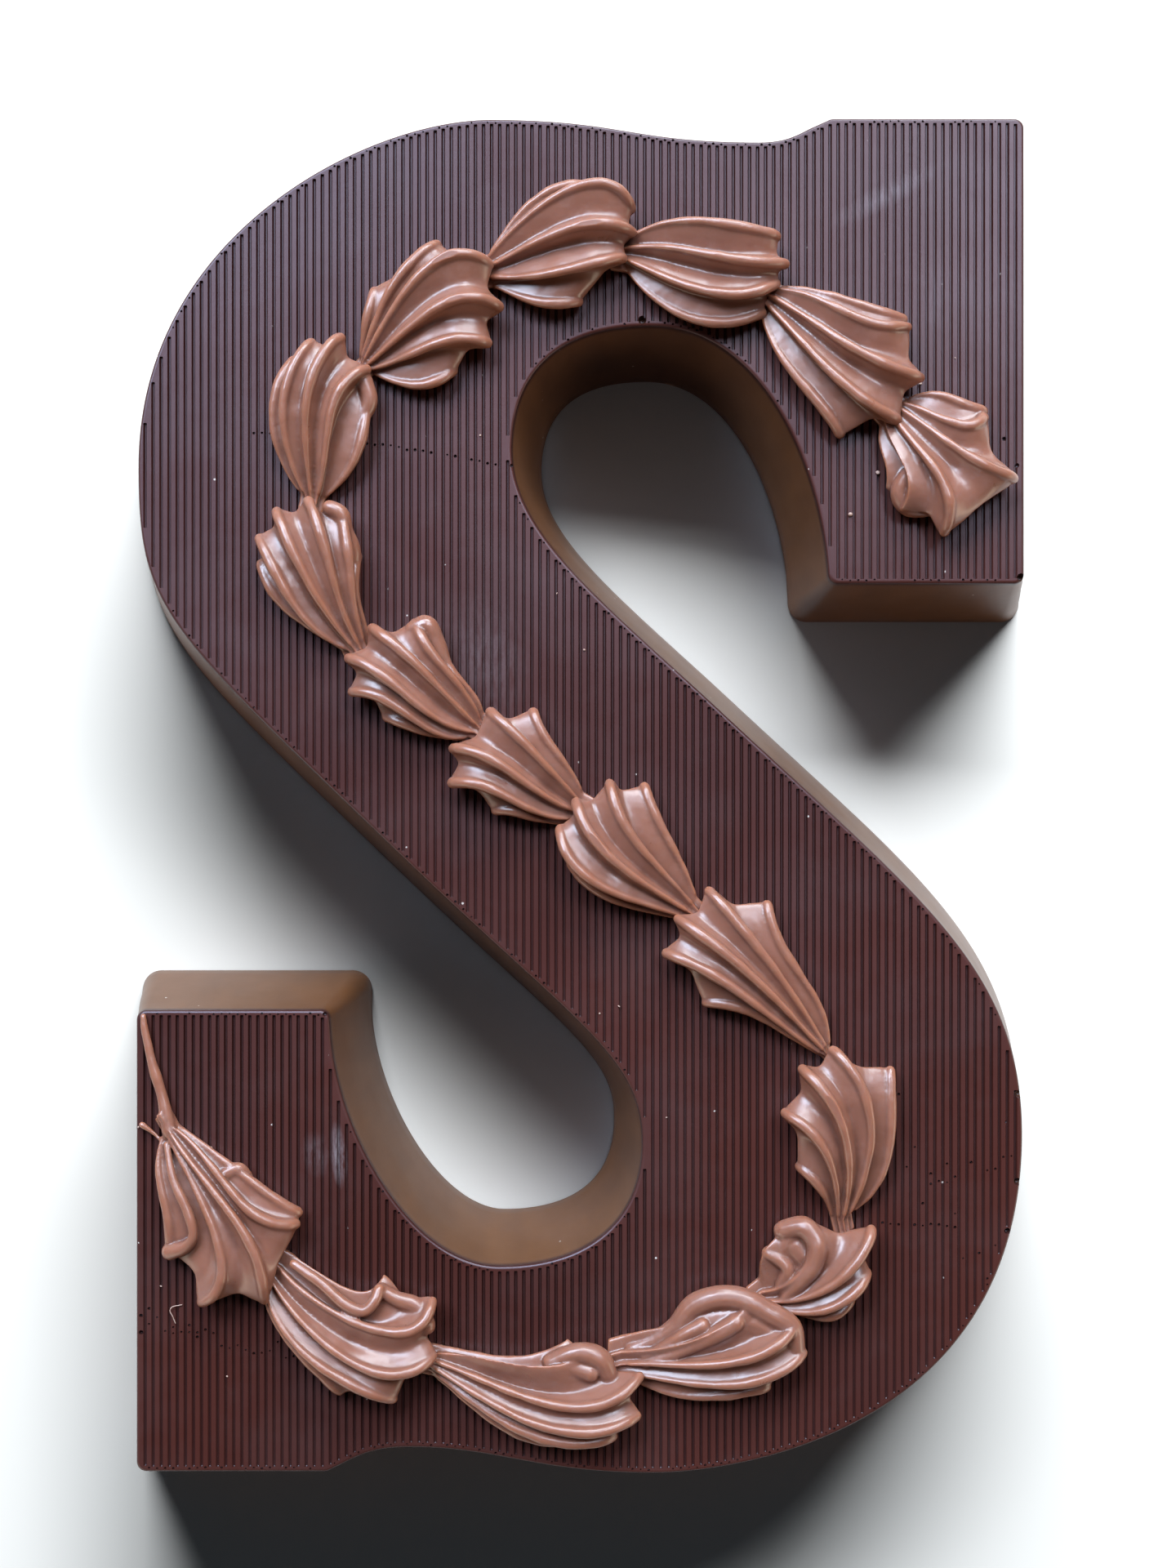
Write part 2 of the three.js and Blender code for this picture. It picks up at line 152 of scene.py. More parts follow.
def outline_places():
    """The outline as functions that give a place moved out by any distance."""
    sides = [outline_side(a, OUTLINE[(i + 1) % len(OUTLINE)]) for i, a in enumerate(OUTLINE)]
    corners = np.array([[p["x"], p["y"]] for p in OUTLINE if p["sharp"]])
    places = []
    for i, anchor in enumerate(OUTLINE):
        points, headings = sides[i]
        if anchor["sharp"]:
            places += corner_places(anchor, outwards(sides[i - 1][1][-1]), outwards(headings[0]))
        for point, heading in list(zip(points, headings))[int(anchor["sharp"]):-1]:
            if np.linalg.norm(corners - point, axis=1).min() > CORNER_ROOM:
                places.append(lambda out, point=point, normal=outwards(heading): point + normal * out)
    return places


def outwards(heading):
    return np.array([heading[1], -heading[0]])


def corner_places(anchor, before, after):
    turn = math.acos(max(-1, min(1, float(before @ after))))
    middle = unit(before + after)
    steps = max(2, round(math.degrees(turn) / CORNER_FACET))
    first = math.degrees(math.atan2(before[1], before[0]))
    places = []
    for step in range(steps + 1):
        normal = direction(first + math.degrees(turn) * step / steps)

        def place(out, normal=normal):
            radius = FACE_CORNER + CORNER_GROWTH * out
            centre = np.array([anchor["x"], anchor["y"]]) + middle * (out - radius) / math.cos(turn / 2)
            return centre + normal * radius

        places.append(place)
    return places


def wall_levels():
    """How far out and how high each level of the wall is, from the back to the face."""
    levels = []
    for angle in np.radians(np.linspace(0, 90, BACK_BANDS + 1)):
        levels.append((DRAFT_OUT - BACK_ROUND * (1 - math.sin(angle)), BACK_ROUND * (1 - math.cos(angle))))
    for part in np.linspace(0, 1, WALL_BANDS + 1)[1:]:
        levels.append((DRAFT_OUT * (1 - part), BACK_ROUND + (THICKNESS - FACE_ROUND - BACK_ROUND) * part))
    for angle in np.radians(np.linspace(0, 90, ROUND_BANDS + 1)[1:]):
        levels.append((FACE_ROUND * (math.cos(angle) - 1), THICKNESS - FACE_ROUND * (1 - math.sin(angle))))
    levels.append((-FACE_ROUND - FACE_LIP, THICKNESS))
    return levels


def letter_mesh():
    mesh = bpy.data.meshes.new("letter")
    shape = bmesh.new()
    rings = []
    for out, height in wall_levels():
        ring = []
        on_wall = BACK_ROUND < height < THICKNESS - FACE_ROUND
        for place in places:
            x, y = place(out)
            if on_wall:
                wave = noise.noise(Vector((x, y, 2 * height)) * WAVE_SCALE) - WAVE_SINK
                x, y = place(out + WALL_WAVES * wave)
            ring.append(shape.verts.new((x * MM, y * MM, height * MM)))
        rings.append(ring)
    for low, high in zip(rings, rings[1:]):
        for i in range(len(places)):
            shape.faces.new((low[i - 1], low[i], high[i], high[i - 1]))
    shape.faces.new(rings[-1])
    shape.faces.new(rings[0][::-1])
    shape.to_mesh(mesh)
    shape.free()
    return mesh


def placed(name, data):
    """A new object in the scene that holds this mesh, lamp or camera."""
    thing = bpy.data.objects.new(name, data)
    scene.collection.objects.link(thing)
    return thing


def fill(tree, node, inputs):
    """Sets a node's inputs to values, or joins them to sockets."""
    for name, value in inputs.items():
        if isinstance(value, bpy.types.NodeSocket):
            tree.links.new(value, node.inputs[name])
        else:
            node.inputs[name].default_value = value


def wire(tree, kind, inputs=None, **settings):
    """A new node with its settings and its inputs."""
    node = tree.nodes.new(kind)
    for name, value in settings.items():
        setattr(node, name, value)
    fill(tree, node, inputs or {})
    return node


def ramp(tree, value, start, end):
    """A value spread out between two (place, grey) stops."""
    node = wire(tree, "ShaderNodeValToRGB", {"Fac": value})
    for element, (place, grey) in zip(node.color_ramp.elements, (start, end)):
        element.position = place
        element.color = (grey, grey, grey, 1)
    return node.outputs["Color"]


def blend(tree, share, a, b):
    """A mix of two colours, each a socket or red, green and blue."""
    a, b = ((*colour, 1) if isinstance(colour, tuple) else colour for colour in (a, b))
    return wire(tree, "ShaderNodeMix", {0: share, 6: a, 7: b}, data_type="RGBA").outputs[2]


def sum_of(tree, operation, *values):
    """A sum in a node tree. Each value is a socket or a number."""
    return wire(tree, "ShaderNodeMath", dict(enumerate(values)), operation=operation).outputs[0]


def new_material(name):
    material = bpy.data.materials.new(name)
    material.use_nodes = True
    tree = material.node_tree
    tree.nodes.clear()
    where = wire(tree, "ShaderNodeTexCoord").outputs["Object"]
    shader = wire(tree, "ShaderNodeBsdfPrincipled")
    wire(tree, "ShaderNodeOutputMaterial", {"Surface": shader.outputs["BSDF"]})
    return material, tree, where, shader


def finish_surface(tree, shader, colour, roughness, relief, strength, distance):
    """Joins a material's colour, its roughness and the fine relief of its skin to its shader."""
    bump = wire(tree, "ShaderNodeBump", {"Strength": strength, "Distance": distance * MM, "Height": relief})
    fill(tree, shader, {"Base Color": colour, "Roughness": roughness, "Normal": bump.outputs["Normal"]})


def stretched(tree, where, scale, move=(0, 0, 0)):
    node = wire(tree, "ShaderNodeMapping", {"Vector": where, "Scale": scale, "Location": move})
    return node.outputs["Vector"]


def cloud(tree, where, scale, detail=3, rough=0.55):
    node = wire(tree, "ShaderNodeTexNoise", {
        "Vector": where, "Scale": scale, "Detail": detail, "Roughness": rough,
    })
    return node.outputs["Fac"]


FACE_BROWN = (0.046, 0.0123, 0.0087)
FACE_RED = (0.056, 0.0128, 0.0078)
# painted shade for the grooves and the pits
GROOVE_PAINTED_SHADE = (0.033, 0.0092, 0.0069)
# painted reflection of the bright floor and sky on the walls, in two tones
WALL_REFLECTION_GOLD = (0.118, 0.046, 0.0155)
WALL_REFLECTION_BROWN = (0.09, 0.034, 0.0115)
BLOOM = (0.16, 0.13, 0.13)
SCUFF_AND_SHEEN = (0.30, 0.26, 0.27)
CHIP = (0.30, 0.19, 0.11)
SCUFFS_AND_SHEEN = [  # middle x, middle y, half width, half length, lean in degrees, strength
    (-30.0, -44.6, 1.1, 4.4, 4, 0.5),
    (-32.8, -44.6, 2.2, 3.0, 10, 0.16),
    (38.0, 74.5, 1.6, 9.0, -62, 0.2),
    (44.0, 62.0, 1.2, 6.0, -5, 0.1),
    # a gloss mark on the diagonal, its brighter sheen painted pale
    (-11.5, 16.8, 6.2, 9.6, 8, 0.1),
]
CHIPS = [  # the same measures, low on the upper bay's wall
    (2.2, 54.6, 0.9, 0.45, 0, 1.0), (11.4, 54.3, 1.3, 0.5, 0, 1.0), (14.7, 52.6, 0.7, 0.4, -35, 1.0),
]
CHIP_HEIGHT = 0.7
SCUFF_AND_SHEEN_EDGE = 0.2
CHIP_EDGE = 0.7
SPECK = (0.42, 0.36, 0.32)
SPECK_SCALE = 420
SPECK_RADIUS = 0.06
SPECK_SHARE = 0.16
GROOVE_SHADE = (0.06, 0.3)  # depths below the face where each colour begins and is full
WALL_REFLECTION_DEPTHS = (0.5, 1.2)


def patch(tree, where, spot, edge):
    """1 inside an upright oval patch on the letter and 0 outside, with a soft edge."""
    x, y, half_width, half_length, lean, strength = spot
    turned = wire(tree, "ShaderNodeVectorRotate", {
        "Vector": where, "Center": (x * MM, y * MM, 0), "Angle": math.radians(-lean),
    }, rotation_type="Z_AXIS").outputs["Vector"]
    oval = stretched(tree, turned, (1 / (half_width * MM), 1 / (half_length * MM), 0),
                     (-x / half_width, -y / half_length, 0))
    reach = wire(tree, "ShaderNodeVectorMath", {0: oval}, operation="LENGTH")
    inside = wire(tree, "ShaderNodeMapRange", {
        "Value": reach.outputs["Value"], "From Min": 1.0, "From Max": edge, "To Max": strength,
    })
    return inside.outputs["Result"]


def below(tree, height, depths):
    """0 down to the first depth below the face and 1 from the second."""
    return wire(tree, "ShaderNodeMapRange", {
        "Value": height, "From Min": (THICKNESS - depths[0]) * MM, "From Max": (THICKNESS - depths[1]) * MM,
    }).outputs["Result"]


def make_dark_chocolate():
    material, tree, where, shader = new_material("dark_chocolate")
    patches = cloud(tree, where, 22, 2)
    colour = blend(tree, ramp(tree, patches, (0.35, 0.0), (0.65, 1.0)), FACE_BROWN, FACE_RED)
    # Painted shade: the grooves' floors and the pits are painted darker, where shade falls in them.
    height = wire(tree, "ShaderNodeSeparateXYZ", {"Vector": where}).outputs["Z"]
    colour = blend(tree, below(tree, height, GROOVE_SHADE), colour, GROOVE_PAINTED_SHADE)
    # Painted reflection: the walls are painted lighter and more golden than the face, for the bright floor
    # and sky that they mirror at a grazing angle, with streaks up them.
    streaks = cloud(tree, stretched(tree, where, (1, 1, 0.3)), 300, 4)
    wall_reflection = blend(tree, ramp(tree, streaks, (0.3, 0.0), (0.75, 1.0)), WALL_REFLECTION_GOLD, WALL_REFLECTION_BROWN)
    colour = blend(tree, below(tree, height, WALL_REFLECTION_DEPTHS), colour, wall_reflection)
    # A thin bloom of cocoa butter lies in faint patches.
    haze = cloud(tree, where, 60, 5, 0.65)
    colour = blend(tree, ramp(tree, haze, (0.45, 0.0), (0.9, 0.12)), colour, BLOOM)
    # Scuffs from the mould and the packing, broken up along the ribs; the large faint oval among them is a
    # gloss mark whose brighter sheen is painted.
    scratches = cloud(tree, stretched(tree, where, (1, 0.25, 1)), 1500, 3, 0.7)
    scratches = ramp(tree, scratches, (0.35, 0.0), (0.6, 1.0))
    low = sum_of(tree, "LESS_THAN", height, CHIP_HEIGHT * MM)
    marks = [(spot, SCUFF_AND_SHEEN_EDGE, scratches, SCUFF_AND_SHEEN) for spot in SCUFFS_AND_SHEEN]
    marks += [(spot, CHIP_EDGE, low, CHIP) for spot in CHIPS]
    for spot, edge, kept, pale in marks:
        colour = blend(tree, sum_of(tree, "MULTIPLY", patch(tree, where, spot, edge), kept), colour, pale)
    # Crumbs and dust: a few pale specks.
    dots = wire(tree, "ShaderNodeTexVoronoi", {"Vector": where, "Scale": SPECK_SCALE})
    chosen = wire(tree, "ShaderNodeSeparateColor", {"Color": dots.outputs["Color"]}).outputs["Red"]
    near = sum_of(tree, "LESS_THAN", dots.outputs["Distance"], SPECK_RADIUS)
    rare = sum_of(tree, "GREATER_THAN", chosen, 1 - SPECK_SHARE)
    colour = blend(tree, sum_of(tree, "MULTIPLY", near, rare), colour, SPECK)
    satin = ramp(tree, cloud(tree, where, 35, 4, 0.6), (0.3, 0.32), (0.7, 0.43))
    # Painted reflection colour: the specular tint makes every reflection bluish, as from a bluish sky.
    fill(tree, shader, {"IOR": 1.5, "Specular Tint": (0.86, 0.88, 1.0, 1)})
    grain = cloud(tree, where, 1800, 3, 0.6)
    waves = cloud(tree, where, 130, 2, 0.5)
    relief = sum_of(tree, "ADD", waves, sum_of(tree, "MULTIPLY", grain, 0.12))
    finish_surface(tree, shader, colour, satin, relief, 0.25, 0.2)
    return material


dark_chocolate = make_dark_chocolate()
places = outline_places()
letter = placed("dark_letter", letter_mesh())

# ---- The ribs of the face ---------------------------------------------------------------------
# The mould's floor is engraved, so that the face carries fine straight ribs, one to the millimetre.
# The grooves between them end in rounded points just inside the edge, which leaves a smooth rim.
RIB_PITCH = 1.0
GROOVE_MOUTH = 0.46
GROOVE_FLOOR = 0.14
GROOVE_DEPTH = 0.38
GROOVE_STOP = 0.56
POINT_LENGTH = 0.15
POINT_ANGLES = (50, 90)
SHORTEST_GROOVE = 2
ABOVE_FACE = 0.3


def new_tree(name, *sizes):
    """A Geometry Nodes tree, the identifiers of its named sizes, and its inputs."""
    tree = bpy.data.node_groups.new(name, "GeometryNodeTree")
    new_socket = tree.interface.new_socket
    for side in ("INPUT", "OUTPUT"):
        new_socket("Geometry", in_out=side, socket_type="NodeSocketGeometry")
    made = [new_socket(size, in_out="INPUT", socket_type="NodeSocketFloat") for size in sizes]
    return tree, [socket.identifier for socket in made], tree.nodes.new("NodeGroupInput").outputs


def as_mesh(thing):
    """An object's mesh as its modifiers make it."""
    bpy.context.view_layer.update()
    return bpy.data.meshes.new_from_object(thing.evaluated_get(bpy.context.evaluated_depsgraph_get()))


def baked(carrier, tree, sockets, *sizes):
    """Runs a Geometry Nodes tree on an object and leaves its result as a plain mesh."""
    modifier = carrier.modifiers.new(tree.name, "NODES")
    modifier.node_group = tree
    for identifier, size in zip(sockets, sizes):
        modifier[identifier] = size
    mesh = as_mesh(carrier)
    carrier.modifiers.remove(modifier)
    carrier.data = mesh


def groove_runs():
    """Each stretch of a groove that lies inside the rim, as (x, lowest y, highest y)."""
    rim = np.array([place(-GROOVE_STOP) for place in places])
    ahead = np.roll(rim, -1, axis=0)
    runs = []
    half_face = max(anchor["x"] for anchor in OUTLINE) - GROOVE_STOP
    for x in np.arange(-math.floor(half_face), math.floor(half_face) + 0.5, RIB_PITCH):
        crossing = (rim[:, 0] - x) * (ahead[:, 0] - x) < 0
        share = (x - rim[crossing, 0]) / (ahead[crossing, 0] - rim[crossing, 0])
        heights = np.sort(rim[crossing, 1] + share * (ahead[crossing, 1] - rim[crossing, 1]))
        pairs = zip(heights[::2], heights[1::2])
        runs += [(x, low, high) for low, high in pairs if high - low > SHORTEST_GROOVE]
    return runs


def mesh_of(name, corners, edges=(), faces=()):
    mesh = bpy.data.meshes.new(name)
    mesh.from_pydata(corners, edges, faces)
    return mesh


def store(mesh, name, values):
    """Gives each point of a mesh a number under this name."""
    mesh.attributes.new(name, "FLOAT", "POINT").data.foreach_set("value", values)


def groove_lines():
    """A mesh of lines, one for each groove, whose points carry how full the groove is there."""
    corners, edges, fullness = [], [], []
    for x, low, high in groove_runs():
        first = len(corners)
        for end, inwards, angles in ((low, 1, POINT_ANGLES), (high, -1, POINT_ANGLES[::-1])):
            for part in np.sin(np.radians(angles)):
                y = end + inwards * POINT_LENGTH * (1 - math.sqrt(1 - part**2))
                corners.append((x * MM, y * MM, THICKNESS * MM))
                fullness.append(part)
        edges += [(i, i + 1) for i in range(first, len(corners) - 1)]
    mesh = mesh_of("groove_lines", corners, edges)
    store(mesh, "fullness", fullness)
    return mesh


def stored(tree, name):
    """The number that each point of a mesh carries under this name."""
    found = wire(tree, "GeometryNodeInputNamedAttribute", {"Name": name}, data_type="FLOAT")
    return found.outputs["Attribute"]


def finish_tree(tree, result, material):
    """Ends a tree: the copies made real, with their material on them."""
    real = wire(tree, "GeometryNodeRealizeInstances", {"Geometry": result})
    done = wire(tree, "GeometryNodeSetMaterial", {"Geometry": real.outputs["Geometry"], "Material": material})
    wire(tree, "NodeGroupOutput", {"Geometry": done.outputs["Geometry"]})


def groove_tree():
    """Sweeps the groove's section along each line and tapers it at the ends."""
    sizes = ("Mouth width", "Floor width", "Depth", "Above the face")
    tree, sockets, source = new_tree("cut_grooves", *sizes)
    mouth, floor_width, depth, above = (source[size] for size in sizes)
    lines = wire(tree, "GeometryNodeMeshToCurve", {"Mesh": source["Geometry"]})
    level = wire(tree, "GeometryNodeSetCurveNormal", {"Curve": lines.outputs["Curve"]}, mode="Z_UP")
    slant = sum_of(tree, "SUBTRACT", mouth, floor_width)
    spread = sum_of(tree, "MULTIPLY", slant, sum_of(tree, "DIVIDE", above, depth))
    section = wire(tree, "GeometryNodeCurvePrimitiveQuadrilateral", {
        "Offset": 0, "Height": sum_of(tree, "ADD", above, depth),
        "Bottom Width": sum_of(tree, "ADD", mouth, spread), "Top Width": floor_width,
    }, mode="TRAPEZOID")
    sink = sum_of(tree, "MULTIPLY", sum_of(tree, "SUBTRACT", depth, above), 0.5)
    shift = wire(tree, "ShaderNodeCombineXYZ", {"Y": sink})
    sunk = wire(tree, "GeometryNodeTransform", {
        "Geometry": section.outputs["Curve"], "Translation": shift.outputs["Vector"],
    })
    sweep = wire(tree, "GeometryNodeCurveToMesh", {
        "Curve": level.outputs["Curve"], "Profile Curve": sunk.outputs["Geometry"],
        "Scale": stored(tree, "fullness"), "Fill Caps": True,
    })
    finish_tree(tree, sweep.outputs["Mesh"], dark_chocolate)
    return tree, sockets


def cut_away(body, cutter):
    """Cuts the closed bodies of cutter out of body and keeps the result as body's mesh."""
    modifier = body.modifiers.new("cut", "BOOLEAN")
    modifier.operation = "DIFFERENCE"
    modifier.solver = "MANIFOLD"
    modifier.object = cutter
    mesh = as_mesh(body)
    body.modifiers.remove(modifier)
    body.data = mesh
    bpy.data.objects.remove(cutter)


grooves = placed("grooves", groove_lines())
baked(grooves, *groove_tree(), GROOVE_MOUTH * MM, GROOVE_FLOOR * MM, GROOVE_DEPTH * MM, ABOVE_FACE * MM)
cut_away(letter, grooves)

# ---- Air bubbles in the face ------------------------------------------------------------------
# Small bubbles were caught between the chocolate and the mould. They left round pits on the ribs,
# in loose rows where the flow met, along the edges at the ribs' ends, and a few large ones.
BUBBLE_ROWS = [  # first rib, last rib, height at the first, middle and last rib, scatter, share
    (-40.5, -8.5, 45.0, 43.9, 40.7, 0.15, 0.8),
    (-54.5, -34.5, -65.2, -67.9, -69.3, 1.0, 0.95),
    (-54.5, -47.5, -63.0, -66.0, -68.5, 2.0, 0.6),
    (43.5, 53.5, -47.6, -46.4, -45.4, 1.0, 0.95),
    (37.5, 46.5, -53.2, -53.3, -53.5, 0.15, 0.8),
    (38.5, 53.5, -40.0, -52.0, -62.0, 6.0, 0.7),
]
LARGE_BUBBLES = [  # x, y, radius
    (7.7, 58.95, 0.55), (54.7, 27.0, 0.55), (-31.7, -27.2, 0.3), (54.5, -37.1, 0.55), (54.3, -48.0, 0.5),
    (53.0, -54.1, 0.42), (52.9, -40.6, 0.24), (52.6, 44.2, 0.28), (54.2, 40.9, 0.3), (-54.5, -64.6, 0.26),
    (-54.5, -66.7, 0.32), (-8.5, 40.9, 0.25),
]
END_BUBBLE_SHARE = 0.6
END_BUBBLE = (0.11, 0.18)
END_SCATTER = 0.18
STEEPEST_EDGE = 2.5
SMALL_BUBBLE = (0.13, 0.22)
BUBBLE_ROOM = 1.2
PIT_SIZE = 1.0
PIT_DEPTH = 2.0
SHARP_ANGLE = 32
random.seed(7)


def bubble_spots():
    """The large bubbles, the rows, and those between the ends of the grooves: (x, y, radius)."""
    spots = list(LARGE_BUBBLES)
    for first, last, start, middle, end, scatter, share in BUBBLE_ROWS:
        for rib in np.arange(first, last + 0.5, RIB_PITCH):
            part = (rib - first) / (last - first)
            y = start * (1 - part) ** 2 + 2 * middle * part * (1 - part) + end * part**2
            if random.random() < share:
                spots.append((rib, y + random.uniform(-scatter, scatter), random.uniform(*SMALL_BUBBLE)))
    ends = [end for x, low, high in groove_runs() for end in ((x, low, 1), (x, high, -1))]
    for x, end, inwards in ends:
        for beside_x, beside, way in ends:
            if beside_x == x + RIB_PITCH and way == inwards and abs(beside - end) < STEEPEST_EDGE:
                if random.random() < END_BUBBLE_SHARE:
                    y = (end + beside) / 2 - inwards * random.uniform(0.0, END_SCATTER)
                    spots.append((x + RIB_PITCH / 2, y, random.uniform(*END_BUBBLE)))
    clear = []
    for spot in spots:
        if all(math.dist(spot[:2], other[:2]) > BUBBLE_ROOM * (spot[2] + other[2]) for other in clear):
            clear.append(spot)
    return clear


def spot_cloud(name, spots, height):
    """An object of bare points, (x, y, radius) each, that carry their radius."""
    mesh = mesh_of(name, [(x * MM, y * MM, (THICKNESS + height * r) * MM) for x, y, r in spots])
    store(mesh, "radius_mm", [spot[2] for spot in spots])
    return placed(name, mesh)


def bubble_tree():
    """A pit for each point, deeper than wide and as large as the point says."""
    tree, sockets, source = new_tree("cut_bubbles", "Size", "Depth over width")
    points = wire(tree, "GeometryNodeMeshToPoints", {"Mesh": source["Geometry"]})
    ball = wire(tree, "GeometryNodeMeshUVSphere", {"Segments": 8, "Rings": 6, "Radius": MM})
    wide = sum_of(tree, "MULTIPLY", stored(tree, "radius_mm"), source["Size"])
    deep = sum_of(tree, "MULTIPLY", wide, source["Depth over width"])
    copies = wire(tree, "GeometryNodeInstanceOnPoints", {
        "Points": points.outputs["Points"], "Instance": ball.outputs["Mesh"],
        "Scale": wire(tree, "ShaderNodeCombineXYZ", {"X": wide, "Y": wide, "Z": deep}).outputs["Vector"],
    })
    finish_tree(tree, copies.outputs["Instances"], dark_chocolate)
    return tree, sockets


def coat(piece, material):
    """Puts one material and smooth shading on a whole piece."""
    piece.data.materials.clear()
    piece.data.materials.append(material)
    piece.data.shade_smooth()


bubbles = spot_cloud("bubbles", bubble_spots(), 0)
baked(bubbles, *bubble_tree(), PIT_SIZE, PIT_DEPTH)
cut_away(letter, bubbles)

coat(letter, dark_chocolate)
letter.data.set_sharp_from_angle(angle=math.radians(SHARP_ANGLE))
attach(letter, "root")
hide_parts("letter")

# ---- The piped shells -------------------------------------------------------------------------
# Milk chocolate, piped through an open star nozzle straight onto the ribs. Each shell was pushed out
# at its head and drawn back to a tail, and the next head was piped over that tail and set on it.
SHELL_FLOOR = THICKNESS + 0.1
NOSE_START = 0.72
HANDLE_SHARE = 0.38
CORE_LEVEL = 0.2
TIP_LEVEL = 0.46
TAIL_LEVEL = 0.34
TAIL_BULGE = 0.2
TAIL_STUB = 2.0
FLUTE_DEPTH = 0.42
FLUTE_FORM = 1.5
WIDEST_FLUTE = 5.0
NOSE_WEB = 0.38
WIDE_NOSE_WEB = 0.95
WIDE_NOSE = (9.0, 11.0)
SIDE_RISE = 0.75
FLUTE_SHORT = 0.05
UNDERCUT = 0.17
UNDERCUT_START = 0.1
SKIRT_BULGE = 0.1
LONG_STEPS = 64
STUB_STEPS = 6
FLUTE_STEPS = 12
SKIRT_STEPS = 6
WOBBLE = 0.1
WOBBLE_SCALE = 0.42
PULLED = 0.012
PULLED_SCALE = 1.5
PRESSED_FOOT = 0.6
SEED_STEP = 3.7
SKIN_GRAIN = 0.14
SOFTENING = 10
FOLD_SOFTENING = 7
CORD_TAIL = 0.24
CORD_NOSE = 0.7
CORD_SUNK = 0.88
CORD_STEPS = 14
CORD_SPAN = (0.04, 0.97)
CORD_SIDES = 12
CORD_ENDS = (0.9, 0.6)
ROLL_STEPS = 8
FOLD_STROKE = 7
NEARLY_UP = (0.02, 0.03, 1)
CREST_WIDTH = 40
CREST_RISE = 0.14

# The middle of the tail, the tail's width, the height, and for each ridge from right to left, seen
# from the tail: the angle of its tip, its reach, its lean on leaving and its hook at the tip.
SHELLS = [
    ((38.8, 47.3), 4.6, 5.6, [
        (-97, 9.5, -20, -30), (-88, 12.4, -10, -50), (-70, 16.7, 0, -40), (-30, 17.2, -5, 20),
        (-2, 11, -10, 60), (3, 11.2, 35, 30),
    ]),
    ((23.7, 61.2), 4.4, 6, [
        (-65, 18.8, -20, -15), (-46, 21.9, -5, 20), (-29, 21.1, -5, 20), (-11, 16.9, 10, 45),
        (-7, 16.3, 8, 10),
    ]),
    ((6.1, 67.1), 4.8, 6, [
        (-27, 18.1, -38, 15), (-15, 18.7, -20, 30), (-6, 19.5, 10, 30), (6, 18.2, 30, 25),
        (11, 15.3, 20, 10),
    ]),
    ((-11.1, 64.8), 4, 6.2, [
        (-23, 11.5, -15, 20), (2, 16.6, -20, -5), (13, 18.4, 5, -20), (23, 19.2, 30, -50),
        (37, 16.9, 25, -25),
    ]),
    ((-26.4, 53.1), 2.6, 6.2, [
        (-7, 10.7, -30, 25), (7, 15.5, -5, -25), (21, 18.3, 10, -35), (38, 19.8, 20, -45),
        (60, 17.3, 10, -10), (87, 9.1, 5, 0),
    ]),
    ((-33, 37), 3, 6, [
        (56, 12.6, -30, 0), (64, 16.8, 0, -40), (79, 19.9, 15, -15), (91, 18.8, 30, -5),
        (100, 16.9, 35, -5),
    ]),
    ((-27.7, 18.7), 4, 5.8, [
        (86, 10.6, 10, -5), (94, 16.1, 10, 20), (107, 18.7, 10, 20), (121, 19.2, 10, 5),
        (134, 17.7, 30, 20), (142, 15.4, 10, -20),
    ]),
    ((-13.3, 8.5), 4.4, 6, [
        (108, 10.4, -15, -35), (117, 14.7, -10, -20), (135, 17.6, 0, 10), (152, 17.7, 25, 40),
        (166, 15.6, 35, 60), (177, 10.6, 10, 0),
    ]),
    ((-0.9, -1.6), 4.8, 6, [
        (110, 13, -6, -15), (129, 15.9, 0, 5), (154, 16.9, 10, 35), (170, 15.5, 20, 45),
        (185, 9.4, 10, 20),
    ]),
    ((13.1, -14), 3.8, 6.2, [
        (107, 16, -5, -10), (120, 18.4, 5, -20), (136, 19.4, 10, -20), (149, 18.7, 15, -35),
        (161, 15.3, 10, -20),
    ]),
    ((30.3, -31.8), 1.5, 6, [
        (110, 19.7, -25, -40), (125, 25.2, -5, 0), (138, 25.3, -5, 5), (149, 23.7, 0, 15),
        (159, 15.8, -5, 20),
    ]),
    ((32.2, -51.8), 2.6, 6.2, [
        (70, 19.2, -40, -25), (93, 21.1, -30, 15), (106, 19.5, -25, 10), (121, 14.7, -25, 15),
        (134, 7.6, -15, 0),
    ]),
    ((23.6, -61.7), 5, 5.4, [
        (-7, 9.9, -15, 30), (13, 12.4, -35, 0), (35, 15.3, -35, -5), (66, 10.4, -50, 25),
        (83, 8, 25, 0),
    ]),
    ((6.2, -69.7), 6, 6, [
        (-13, 17.2, -20, -10), (3, 21.6, -10, 20), (14, 21.3, -5, 25), (28, 17, -15, 0),
        (45, 11, -5, 30),
    ]),
    ((-17.8, -69.9), 3.8, 6, [
        (-32, 18.9, -10, 20), (-23, 23.9, -15, 15), (-14, 26, -15, 20), (-2, 25.6, -10, 40),
        (6, 19.6, 5, 30), (10, 16.5, -10, 15),
    ]),
    ((-37.2, -59.9), 7, 5.8, [
        (-63, 15.6, -15, -15), (-46, 20.4, -30, -15), (-24, 21.6, -30, 35), (-5, 19.5, -35, 60),
        (4, 13, -15, 60),
    ]),
    ((-50.6, -41.3), 2.2, 5.8, [
        (-92, 14.3, -25, -35), (-80, 21.6, 20, -60), (-60, 24.3, 5, -35), (-34, 19.6, 10, 45),
        (-31, 19, 2, 0),
    ]),
]

CEILING_ROOM = 0.005
CEILING = cad_box[1][2] / MM - CEILING_ROOM

# Ridges that lie hidden under a fold of their shell.
FOLDED_OVER = {1: (0, 1), 13: (3, 4), 14: (3, 4), 15: (4, 5), 16: (4,)}

